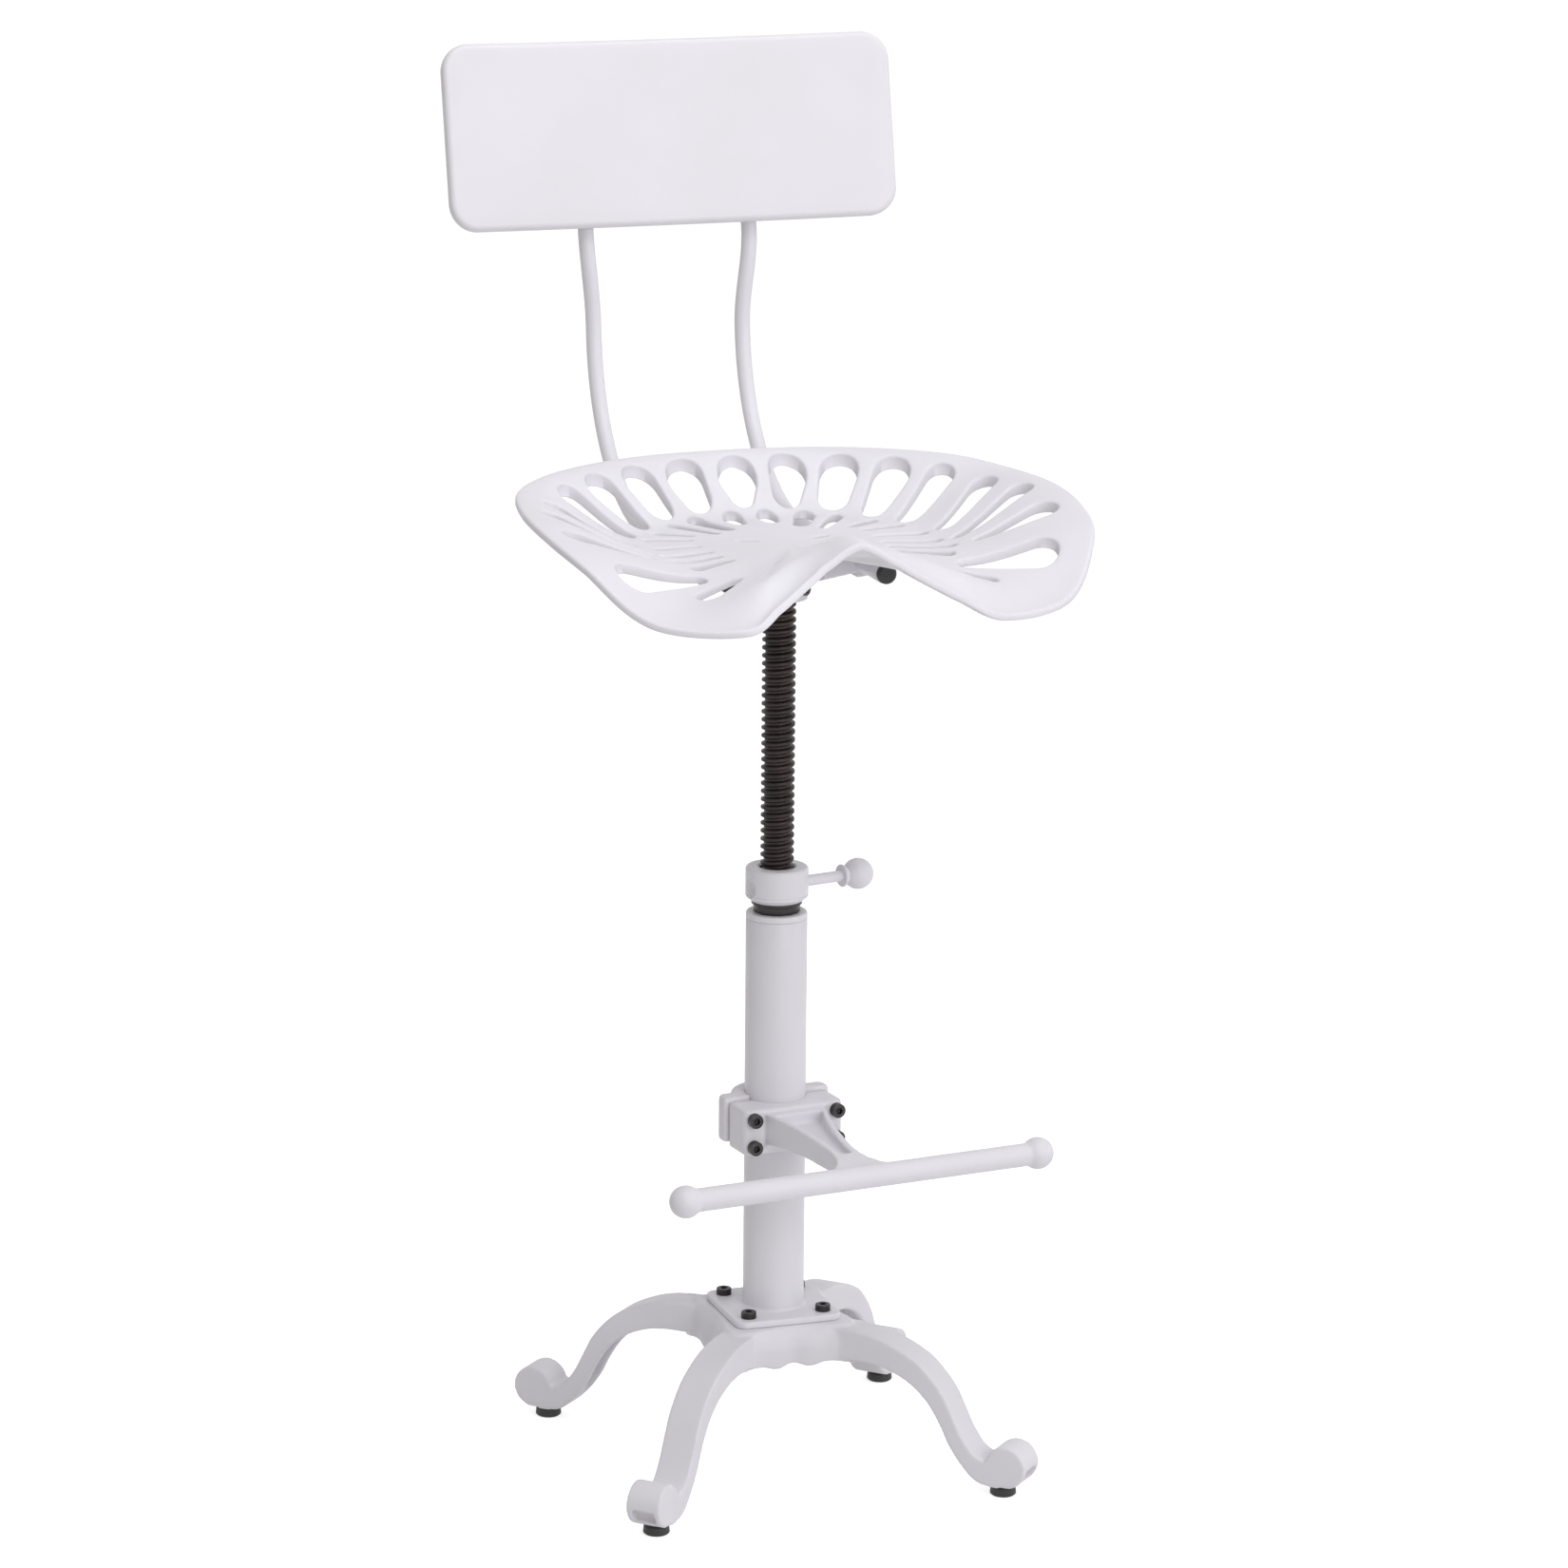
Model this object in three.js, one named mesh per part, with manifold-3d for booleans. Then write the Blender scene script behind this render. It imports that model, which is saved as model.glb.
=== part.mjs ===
// A swivelling stool with a cast tractor seat, a backrest, a screw column and a footrest.
// Millimetres, +Z up. Every size is set in the column's own frame: x and y are zero on the axis
// of the column and z is zero on the floor. The last lines put the origin under the middle of
// the whole stool.

import * as THREE from "three";
import { mergeVertices } from "three/addons/utils/BufferGeometryUtils.js";
import Module from "manifold-3d";

const wasm = await Module();
wasm.setup();

// Clearances and overruns shared by the pieces
const seatingGap = 0.3;
const cutOverrun = 2;
const weldTolerance = 0.001;

// Base casting: a lobed hub and four S-shaped legs that end in scrolls
const glideSpacing = 285.7;
const hubTop = 121.5;
const hubHalf = 52.5;
const hubTopHalf = 45.5;
const hubSkirtHeight = 31;
const hubWall = 6.5;
const hubRoof = 7.5;
const hubLobe = 1.5;
const hubLobes = 12;
const hubSquareness = 8;
const hubCornerReach = 9;
const hubSegments = 48;
const legWidth = 28.5;
const legBevel = 3.2;
const legWall = 5.5;
const legRoofShare = 0.32;
const legPoints = 42;
const scrollRadius = 16.9;
const scrollReach = 7.1;
const scrollLift = 9.5;
const notchWidth = 19.6;
const notchHeight = 11;
const notchDepth = 7;
const notchAngle = THREE.MathUtils.degToRad(-28);
// each pair is a share of the glide's radius and a share of the hub's height
const legTopShares = [[0.22, 0.984], [0.38, 0.977], [0.48, 0.954], [0.56, 0.912], [0.642, 0.846],
  [0.706, 0.763], [0.767, 0.644], [0.803, 0.533], [0.849, 0.384], [0.9, 0.275], [0.952, 0.241]];
const legUnderShares = [[0.22, 0.777], [0.37, 0.777], [0.45, 0.772], [0.53, 0.749], [0.62, 0.684],
  [0.695, 0.58], [0.75, 0.448], [0.795, 0.305], [0.852, 0.181], [0.915, 0.093], [1, 0.07]];

// Foot glides
const glideRadius = 10.4;
const glideHeight = 8.2;
const glideStemRadius = 4;
const glideStemLength = 9;
const glideRound = 1.4;

// Flange plate and its four socket head screws
const plateHalf = 43.5;
const plateThickness = 5.5;
const plateCorner = 9;
const plateBevel = 1.2;
const plateScrewOffset = 30.9;
const plateScrew = { headRadius: 6, headHeight: 5.4, shankRadius: 4, shankLength: 12, socket: 3 };

// Column tube, its top ring, the black thread bush and the lock collar
const tubeRadius = 24.15;
const tubeWall = 3.5;
const tubeTop = 443.5;
const weldFillet = 2.2;
const ringHeight = 5;
const ringRound = 1.6;
const ringSkirt = 28;
const bushFootRadius = 18.3;
const bushHeadRadius = 20;
const bushHeight = 8.9;
const bushWall = 1.9;
const bushDrop = 30;
const collarRadius = 24.7;
const collarHeight = 27.5;
const collarChamfer = 4.6;
const collarRound = 2.6;
const collarGroove = 0.7;
const collarGrooveLift = 5.6;
const columnSegments = 32;

// Lock handle through the collar
const handleAzimuth = THREE.MathUtils.degToRad(12);
const handleLift = 11.7;
const handleRodRadius = 4.4;
const handleTipRadial = 13.4;
const handleFlangeRadial = 58.5;
const handleFlangeRadius = 9;
const handleFlangeThickness = 3;
const handleNeckRadius = 6.4;
const knobRadial = 74.2;
const knobRadius = 12.4;
const knobSocket = 9;
const dimpleRadius = 7;
const dimpleDepth = 2.4;

// Threaded rod, the guide at its foot and the screw that holds the guide
const threadPitch = 6.35;
const rodRadius = 13.2;
const threadDepth = 2.6;
const threadCrestShare = 0.5;
const rodSides = 10;
const rodSeatInset = 12;
const rodEngagement = 55.5;
const rodSpigotRadius = 6;
const rodSpigotLength = 15;
const guideClearance = 0.45;
const guideRound = 1;
const stopWasherRadius = 10;
const stopWasherThickness = 2;
const stopScrew = { headRadius: 5, headHeight: 3.5, shankRadius: 2.5, shankLength: 11, socket: 1.6 };

// Seat bracket under the seat
const seatFloor = 747;
const seatThickness = 6;
const seatUnderside = seatFloor - seatThickness;
const bracketTop = seatUnderside - seatingGap / 2;
const bossRadius = 22;
const bossHeight = 43;
const sleeveSpacing = 126;
const sleeveRadius = 8.4;
const sleeveWall = 1.75;
const sleeveFront = -66;
const sleeveRear = 52;
const sleeveDrop = 14;
const backTubeHeight = bracketTop - sleeveDrop;
const webThickness = 7;
const webHalfDepth = 27;
const ribThickness = 6;
const ribRootDrop = 22;
const finThickness = 6;
const finDrop = 15;
const boltSpread = 52;
const boltDepth = 40;
const boltSinkGap = 1;
const seatBolt = { headRadius: 5, headHeight: 5, shankRadius: 3, shankLength: 11, socket: 2.4 };
const bossScrewAzimuths = [-57, 123].map(THREE.MathUtils.degToRad);
const bossScrewLift = 10.6;
const bossScrew = { headRadius: 5, headHeight: 5, shankRadius: 3.5, shankLength: 7, socket: 2.4 };

// Back tubes: level under the seat, a long bend, then a rise to the panel
const backTubeRadius = 6.35;
const backTubeSides = 10;
const backTubeSteps = 32;
const bendRadius = 148;
const bendStart = 133;
const bendAngle = THREE.MathUtils.degToRad(86);
const upperHalfSpacing = 68.9;
const bendPieces = 8;
const kneeDrop = 77;
const kneeHandleShare = 0.36;
const tubeReachShare = 0.36;
const plugRadius = 7.8;
const plugThickness = 4.4;
const plugRound = 1;
const plugStemRadius = 4.5;
const plugStemLength = 9;
const tubeBore = 4.8;
const tubeBoreDepth = 14;

// Backrest panel
const panelWidth = 376;
const panelHeight = 149;
const panelThickness = 13;
const panelCorner = 23;
const panelEdge = 4;
const panelBendRadius = 1350;
const panelSegments = 20;
const panelRecline = THREE.MathUtils.degToRad(12.5);
const panelCentreDepth = 289;
const panelRise = 146.15;
const panelCentreHeight = backTubeHeight + bendRadius + panelRise;
const panelScrewPitch = 76;
const panelScrew = { headRadius: 4.6, headHeight: 3.4, shankRadius: 2.2, shankLength: 21, socket: 1.6 };
const panelHoleFloor = -3;

// Seat casting. Each rim row holds an angle from the back and the rim's x, y and height above
// the seat floor; the wall shares say where along each ray the wall starts and ends.
const discY = -29;
const seatRimHeight = 43;
const seatHalfWidth = 214;
const seatBackReach = 167;
const seatFrontReach = 190;
const seatSegments = 52;
const seatTopShares = [0.42, 0.55, 0.65, 0.74, 0.83, 0.92, 1];
const seatUnderShares = [0.42, 0.56, 0.7, 0.82, 0.92, 1];
const seatRimShares = [
  [0, 0, 0.955, 1.03], [20, 0.31, 0.955, 1], [40, 0.57, 0.82, 1], [58, 0.787, 0.63, 0.97],
  [75, 0.93, 0.415, 0.87], [90, 1.004, 0, 0.83], [106, 0.998, -0.355, 0.66],
  [122, 0.94, -0.611, 0.37], [138, 0.765, -0.86, -0.42], [150, 0.478, -1.01, -0.5],
  [158, 0.346, -0.945, -0.21], [164, 0.266, -0.897, 0], [168, 0.196, -0.86, 0.2],
  [173, 0.131, -0.834, 0.4], [180, 0, -0.816, 0.7]];
const seatWallShares = [
  [0, 0.6, 0.985], [60, 0.58, 0.98], [90, 0.47, 0.99], [120, 0.4, 1], [138, 0.35, 1],
  [150, 0.04, 0.74], [162, 0.04, 0.72], [168, 0.06, 0.84], [180, 0.02, 0.93]];
// each depth row holds an angle and how deep the casting is at the bead share, as a share of its
// thickness; it is plain up to the disc share and again at the rim
const seatDiscShare = 0.56;
const seatBeadShare = 0.92;
const seatDepthShares = [
  [0, 1.55], [100, 1.5], [130, 1.35], [155, 1.15], [180, 1.3]];
// each lip row holds an angle and how far the front edge curls down past the lip's start, as a
// share of the rim height
const seatLipStart = 0.76;
const seatLipShares = [
  [0, 0], [122, 0], [138, 0.14], [150, 0.58], [158, 0.48], [164, 0.36], [168, 0.25], [173, 0.14],
  [180, 0.04]];
// each slot row holds the angle and share of its outer end, those of its inner end, and the
// shares of the slot width that its outer and inner ends take
const slotWidth = 30.2;
const slotSides = 10;
const seatSlotShares = [
  [0, 0.927, 0, 0.7, 1.02, 0.66], [15.4, 0.92, 14.2, 0.687, 0.98, 0.74],
  [30.8, 0.919, 31.1, 0.673, 1, 0.84], [47.2, 0.911, 47.1, 0.638, 0.98, 0.62],
  [62.1, 0.903, 65.5, 0.593, 0.76, 0.6], [77.8, 0.893, 87.9, 0.572, 0.76, 0.52],
  [87.6, 0.922, 103.5, 0.557, 0.7, 0.3], [101.7, 0.92, 113, 0.609, 0.9, 0.3],
  [125.3, 0.892, 136, 0.59, 1, 0.42], [141.2, 0.781, 143.1, 0.536, 0.6, 0.24],
  [6.3, 0.68, 7.7, 0.503, 0.53, 0.32], [21.5, 0.663, 21.5, 0.394, 0.53, 0.4],
  [34.7, 0.638, 37.8, 0.362, 0.37, 0.23], [52.6, 0.59, 51.6, 0.414, 0.34, 0.24],
  [71.3, 0.548, 66.5, 0.373, 0.32, 0.22], [87.1, 0.53, 83.8, 0.334, 0.32, 0.22],
  [101.6, 0.525, 98.8, 0.317, 0.32, 0.22], [116.1, 0.548, 113.6, 0.319, 0.32, 0.22],
  [128.1, 0.551, 128.1, 0.331, 0.34, 0.24], [59.1, 0.217, 53.7, 0.137, 0.17, 0.17],
  [148.3, 0.455, 150.7, 0.38, 0.17, 0.17]];

// Footrest: a split clamp on the column, an arm and a bar with ball ends
const footrestTurn = THREE.MathUtils.degToRad(7.1);
const clampBottom = 262.5;
const clampHeight = 36.5;
const clampHalfWidth = 43;
const clampFront = 36;
const clampSplit = -4.5;
const clampCorner = 7;
const clampBevel = 2.5;
const rearFlange = 15;
const rearSaddleRadius = 35;
const rearHalfWidth = 46;
const rearCorner = 6;
const rearLift = 3;
const splitGap = 0.6;
const clampScrewSpread = 71.6;
const clampScrewPitch = 22.2;
const clampScrew = { headRadius: 5.7, headHeight: 6, shankRadius: 4, shankLength: 46, socket: 2.8 };
const barLift = 12.5;
const barHeight = clampBottom + barLift;
const barReach = 156;
const barRadius = 9.1;
const barHalfLength = 151;
const barBallRadius = 12.7;
const armRootHalf = 27;
const armWaistHalf = 11;
const armFlareHalf = 32;
const armTopDrop = 3;
const armUnderRise = 9;
const armWaistShare = 0.68;
const armPocketDepth = 9;
const armPocketWall = 7;

const degrees = THREE.MathUtils.degToRad;

// Finishes
const whitePaint = { color: 0xe9e7ec, roughness: 0.45, metalness: 0.05 };
const blackSteel = { color: 0x1d1a1a, roughness: 0.45, metalness: 0.7 };
const darkThread = { color: 0x2a2120, roughness: 0.4, metalness: 0.8 };
const blackPlastic = { color: 0x161616, roughness: 0.6, metalness: 0 };

// Solids and meshes
function solid(geometry) {
  const plain = geometry.index ? geometry.toNonIndexed() : geometry.clone();
  plain.deleteAttribute("normal");
  plain.deleteAttribute("uv");
  const merged = mergeVertices(plain, weldTolerance);
  return new wasm.Manifold(new wasm.Mesh({
    numProp: 3,
    vertProperties: merged.attributes.position.array,
    triVerts: new Uint32Array(merged.index.array),
  }));
}

function geometryOf(manifold) {
  const mesh = manifold.getMesh();
  const geometry = new THREE.BufferGeometry();
  geometry.setAttribute("position", new THREE.BufferAttribute(mesh.vertProperties, 3));
  geometry.setIndex(new THREE.BufferAttribute(mesh.triVerts, 1));
  return geometry;
}

function cut(body, tools) {
  return tools.reduce((left, tool) => left.subtract(tool), body);
}

function join(solids) {
  return solids.reduce((whole, piece) => whole.add(piece));
}

function addMesh(parent, name, shape, finish) {
  const geometry = shape.isBufferGeometry ? shape : geometryOf(shape);
  geometry.deleteAttribute("normal");
  geometry.computeVertexNormals();
  const mesh = new THREE.Mesh(geometry, new THREE.MeshStandardMaterial(finish));
  mesh.name = name;
  parent.add(mesh);
  return mesh;
}

// Shapes that stand along an axis
function lathe(profile, segments = columnSegments) {
  const points = profile.map(([radius, height]) => new THREE.Vector2(radius, height));
  const turned = new THREE.LatheGeometry(points, segments);
  return turned.rotateX(Math.PI / 2);
}

function rod(radius, bottom, top, segments = 16) {
  return lathe([[0, bottom], [radius, bottom], [radius, top], [0, top]], segments);
}

function pipe(inner, outer, bottom, top, segments = columnSegments) {
  return lathe([[inner, bottom], [outer, bottom], [outer, top], [inner, top], [inner, bottom]], segments);
}

function box(width, depth, height) {
  return new THREE.BoxGeometry(width, depth, height);
}

// lays a shape that stands along +Z down along +Y
function alongY(geometry) {
  return geometry.rotateX(-Math.PI / 2);
}

function extrude(points, height, bevel = 0, bevelSegments = 1) {
  const shape = points instanceof THREE.Shape
    ? points : new THREE.Shape(points.map(([x, y]) => new THREE.Vector2(x, y)));
  const depth = height - 2 * bevel;
  const extruded = new THREE.ExtrudeGeometry(shape, {
    depth, bevelEnabled: bevel > 0, bevelThickness: bevel, bevelSize: bevel,
    bevelOffset: -bevel, bevelSegments, curveSegments: 3,
  });
  return extruded.translate(0, 0, bevel);
}

function roundedRectangle(halfWidth, halfDepth, corner) {
  const shape = new THREE.Shape();
  const across = halfWidth - corner;
  const along = halfDepth - corner;
  shape.absarc(across, along, corner, 0, Math.PI / 2);
  shape.absarc(-across, along, corner, Math.PI / 2, Math.PI);
  shape.absarc(-across, -along, corner, Math.PI, 1.5 * Math.PI);
  shape.absarc(across, -along, corner, 1.5 * Math.PI, 2 * Math.PI);
  return shape;
}

// A socket head screw: its head stands above zero and its shank hangs below
function screwGeometry(size) {
  const body = lathe([
    [0, -size.shankLength], [size.shankRadius, -size.shankLength], [size.shankRadius, 0],
    [size.headRadius, 0], [size.headRadius, size.headHeight], [0, size.headHeight]], 14);
  const socket = new THREE.CylinderGeometry(size.socket, size.socket, size.headHeight, 6);
  socket.rotateX(Math.PI / 2).translate(0, 0, size.headHeight);
  return geometryOf(solid(body).subtract(solid(socket)));
}

function screwHole(size, length) {
  return rod(size.shankRadius + seatingGap, -length, cutOverrun, 12);
}

// Base casting
const glideRadial = glideSpacing / Math.SQRT2;
const scrollCentre = new THREE.Vector2(glideRadial + scrollReach, scrollLift + scrollRadius);
const glideSeat = glideHeight + seatingGap;

function legPoint([radialShare, heightShare]) {
  return new THREE.Vector2(radialShare * glideRadial, heightShare * hubTop);
}

function legProfile() {
  const top = legTopShares.map(legPoint);
  const under = legUnderShares.map(legPoint).reverse();
  const shape = new THREE.Shape();
  shape.moveTo(top[0].x, top[0].y);
  shape.splineThru(top.slice(1));
  shape.absarc(scrollCentre.x, scrollCentre.y, scrollRadius, degrees(160), degrees(-110), true);
  shape.splineThru(under);
  return new THREE.Shape(shape.getSpacedPoints(legPoints));
}

// the hollow under a leg follows the leg's two lines, so its roof keeps a share of the depth
function channelProfile() {
  const upper = [];
  const lower = [];
  legTopShares.slice(1, -2).forEach((share, i) => {
    const top = legPoint(share);
    const under = legPoint(legUnderShares[i + 1]);
    upper.push(top.clone().lerp(under, legRoofShare));
    lower.push(under.clone().lerp(top, -legRoofShare));
  });
  const shape = new THREE.Shape();
  shape.moveTo(upper[0].x, upper[0].y);
  shape.splineThru(upper.slice(1));
  shape.lineTo(lower[lower.length - 1].x, lower[lower.length - 1].y);
  shape.splineThru(lower.reverse().slice(1));
  return new THREE.Shape(shape.getSpacedPoints(legPoints / 2));
}

// a profile drawn in radius and height is stood up across a leg that points along +X
function acrossLeg(shape, width, bevel) {
  const slab = extrude(shape, width, bevel);
  return slab.rotateX(Math.PI / 2).translate(0, width / 2, 0);
}

function hubRing(half, height, lobe, wave) {
  const ring = [];
  for (let i = 0; i < hubSegments; i += 1) {
    const angle = 2 * Math.PI * i / hubSegments;
    const ripple = Math.cos(hubLobes * angle + Math.PI);
    const power = Math.abs(Math.cos(angle)) ** hubSquareness + Math.abs(Math.sin(angle)) ** hubSquareness;
    const corner = hubCornerReach * Math.sin(2 * angle) ** 4;
    const radius = half * power ** (-1 / hubSquareness) + corner + lobe * ripple;
    ring.push(new THREE.Vector3(
      radius * Math.cos(angle), radius * Math.sin(angle), height - wave * ripple));
  }
  return ring;
}

// a closed skin through a stack of rings, with a point at each end
function skin(rings, start, end) {
  const count = rings[0].length;
  const vertices = [start, ...rings.flat(), end];
  const index = [];
  const at = (row, column) => 1 + row * count + (column % count);
  for (let column = 0; column < count; column += 1) {
    index.push(0, at(0, column + 1), at(0, column));
    index.push(vertices.length - 1, at(rings.length - 1, column), at(rings.length - 1, column + 1));
    for (let row = 0; row < rings.length - 1; row += 1) {
      index.push(at(row, column), at(row, column + 1), at(row + 1, column + 1));
      index.push(at(row, column), at(row + 1, column + 1), at(row + 1, column));
    }
  }
  const geometry = new THREE.BufferGeometry().setFromPoints(vertices);
  geometry.setIndex(index);
  return geometry;
}

function hubGeometry() {
  const bottom = hubTop - hubSkirtHeight;
  const waist = hubTop - hubSkirtHeight / 2;
  const brow = hubTop - hubRoof;
  const inner = hubHalf - hubWall;
  const roof = hubTop - hubRoof;
  const rings = [
    hubRing(inner - hubWall, roof, 0, 0),
    hubRing(inner, bottom, hubLobe, hubLobe),
    hubRing(hubHalf - hubLobe, bottom, hubLobe, hubLobe),
    hubRing(hubHalf, waist, hubLobe, 0),
    hubRing(hubHalf - hubLobe, brow, hubLobe / 2, 0),
    hubRing(hubTopHalf + hubLobe, hubTop - hubLobe, 0, 0),
    hubRing(hubTopHalf, hubTop, 0, 0)];
  return skin(rings, new THREE.Vector3(0, 0, roof), new THREE.Vector3(0, 0, hubTop));
}

function legTools(angle) {
  const scrollNotch = box(2 * notchDepth, notchWidth, notchHeight);
  scrollNotch.rotateY(-notchAngle);
  scrollNotch.translate(
    scrollCentre.x + scrollRadius * Math.cos(notchAngle), 0,
    scrollCentre.y + scrollRadius * Math.sin(notchAngle));
  const stemHole = rod(glideStemRadius + seatingGap, 0, glideSeat + glideStemLength + seatingGap, 12);
  stemHole.translate(glideRadial, 0, 0);
  const underPad = rod(glideRadius + legBevel, -cutOverrun, glideSeat, 20).translate(glideRadial, 0, 0);
  return [acrossLeg(channelProfile(), legWidth - 2 * legWall, 0), scrollNotch, stemHole, underPad]
    .map((tool) => solid(tool.rotateZ(angle)));
}

function baseCasting() {
  const angles = [1, 3, 5, 7].map((quarter) => quarter * Math.PI / 4);
  const legs = angles.map((angle) => {
    const pad = rod(glideRadius, glideSeat, glideSeat + glideRadius, 20).translate(glideRadial, 0, 0);
    const leg = solid(acrossLeg(legProfile(), legWidth, legBevel)).add(solid(pad));
    return solid(geometryOf(leg).rotateZ(angle));
  });
  const body = join([solid(hubGeometry()), ...legs]);
  const holes = plateScrewPlaces().map(([x, y]) =>
    solid(rod(plateScrew.shankRadius + seatingGap, hubTop - hubSkirtHeight / 2, hubTop + cutOverrun, 12)
      .translate(x, y, 0)));
  return cut(body, [...angles.flatMap(legTools), ...holes]);
}

function plateScrewPlaces() {
  const places = [];
  for (const x of [-plateScrewOffset, plateScrewOffset]) {
    for (const y of [-plateScrewOffset, plateScrewOffset]) places.push([x, y]);
  }
  return places;
}

function glideGeometry() {
  return lathe([
    [0, 0], [glideRadius - 2 * glideRound, 0], [glideRadius, glideRound],
    [glideRadius, glideHeight - glideRound],
    [glideRadius - glideRound, glideHeight], [glideStemRadius, glideHeight],
    [glideStemRadius, glideHeight + glideStemLength], [0, glideHeight + glideStemLength]], 18);
}

// Flange plate and column
const plateTop = hubTop + plateThickness;
const ringTop = tubeTop + ringHeight;
const ringBore = rodRadius + bushWall + 2 * seatingGap;
const bushTop = ringTop + bushHeight;
const collarTop = bushTop + collarHeight;
const tubeInner = tubeRadius - tubeWall;

function flangePlate() {
  const outline = roundedRectangle(plateHalf, plateHalf, plateCorner);
  const plate = solid(extrude(outline, plateThickness, plateBevel).translate(0, 0, hubTop));
  const holes = plateScrewPlaces().map(([x, y]) =>
    solid(screwHole(plateScrew, 2 * plateThickness).translate(x, y, plateTop)));
  return cut(plate, holes);
}

function columnTube() {
  return lathe([
    [tubeInner, plateTop], [tubeRadius + weldFillet, plateTop],
    [tubeRadius + weldFillet / 3, plateTop + weldFillet / 3],
    [tubeRadius, plateTop + weldFillet], [tubeRadius, tubeTop], [tubeInner, tubeTop],
    [tubeInner, plateTop]]);
}

function columnTopRing() {
  const skirtRadius = tubeInner - seatingGap;
  return lathe([
    [ringBore, tubeTop - ringSkirt], [skirtRadius, tubeTop - ringSkirt], [skirtRadius, tubeTop],
    [tubeRadius, tubeTop], [tubeRadius, ringTop - ringRound], [tubeRadius - ringRound, ringTop],
    [ringBore, ringTop], [ringBore, tubeTop - ringSkirt]]);
}

function threadBush() {
  const bore = rodRadius + seatingGap;
  const stem = bore + bushWall;
  return lathe([
    [bore, ringTop - bushDrop], [stem, ringTop - bushDrop], [stem, ringTop], [bushFootRadius, ringTop],
    [bushHeadRadius, bushTop], [bore, bushTop], [bore, ringTop - bushDrop]]);
}

function lockCollar() {
  const bore = rodRadius + 2 * seatingGap;
  const groove = bushTop + collarGrooveLift;
  const body = solid(lathe([
    [bore, bushTop], [collarRadius - collarChamfer, bushTop], [collarRadius, bushTop + 0.8 * collarChamfer],
    [collarRadius, groove - collarGroove], [collarRadius - collarGroove, groove],
    [collarRadius, groove + collarGroove], [collarRadius, collarTop - collarRound],
    [collarRadius - 0.3 * collarRound, collarTop - 0.3 * collarRound],
    [collarRadius - collarRound, collarTop], [bore, collarTop], [bore, bushTop]]));
  const hole = rod(handleRodRadius + seatingGap, 0, 2 * collarRadius, 16);
  const dimple = lathe([
    [0, collarRadius - 2 * dimpleDepth], [dimpleRadius, collarRadius - dimpleDepth],
    [dimpleRadius, 2 * collarRadius], [0, 2 * collarRadius]], 20);
  const tools = [
    alongHandle(hole, handleAzimuth, bushTop + handleLift),
    alongHandle(dimple, handleAzimuth + Math.PI, bushTop + handleLift)];
  return cut(body, tools.map(solid));
}

// turns a shape that stands along +Z to point outwards at an azimuth and a height
function alongHandle(geometry, azimuth, height) {
  return geometry.rotateY(Math.PI / 2).rotateZ(azimuth).translate(0, 0, height);
}

// Threaded rod: one helical thread, with a spigot at its foot
const rodTop = seatFloor - rodSeatInset;
const rodFoot = tubeTop - rodEngagement;

function threadedRod() {
  const turns = (rodTop - rodFoot) / threadPitch;
  const root = rodRadius - threadDepth;
  const stations = [[0, root], [threadCrestShare * threadPitch, rodRadius]];
  const rows = [];
  for (let turn = -1; turn <= turns; turn += 1) {
    for (const [along, radius] of stations) {
      rows.push(threadRow(rodFoot + turn * threadPitch + along, radius));
    }
  }
  const low = new THREE.Vector3(0, 0, rodFoot - 2 * threadPitch);
  const high = new THREE.Vector3(0, 0, rodTop + 2 * threadPitch);
  const wound = solid(skin(rows, low, high));
  const sleeve = solid(rod(2 * rodRadius, rodFoot, rodTop, 8));
  const spigot = solid(rod(rodSpigotRadius, rodFoot - rodSpigotLength, rodFoot + threadPitch, 16));
  const tapped = solid(rod(stopScrew.shankRadius + seatingGap, rodFoot - 2 * rodSpigotLength, rodFoot, 12));
  return wound.intersect(sleeve).add(spigot).subtract(tapped);
}

function threadRow(height, radius) {
  const row = [];
  for (let i = 0; i < rodSides; i += 1) {
    const turn = i / rodSides;
    const angle = 2 * Math.PI * turn;
    row.push(new THREE.Vector3(
      radius * Math.cos(angle), radius * Math.sin(angle), height + turn * threadPitch));
  }
  return row;
}

function rodGuide() {
  const outer = tubeInner - guideClearance;
  const bottom = rodFoot - rodSpigotLength + seatingGap;
  const top = rodFoot - seatingGap;
  const bore = rodSpigotRadius + seatingGap;
  return lathe([
    [bore, bottom], [outer - guideRound, bottom], [outer, bottom + guideRound], [outer, top - guideRound],
    [outer - guideRound, top], [bore, top], [bore, bottom]], 24);
}

// Seat bracket
const bossBottom = bracketTop - bossHeight;

function boltPlaces() {
  const places = [];
  for (const x of [-boltSpread / 2, boltSpread / 2]) {
    for (const y of [-boltDepth / 2, boltDepth / 2]) places.push([x, y]);
  }
  return places;
}

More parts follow.
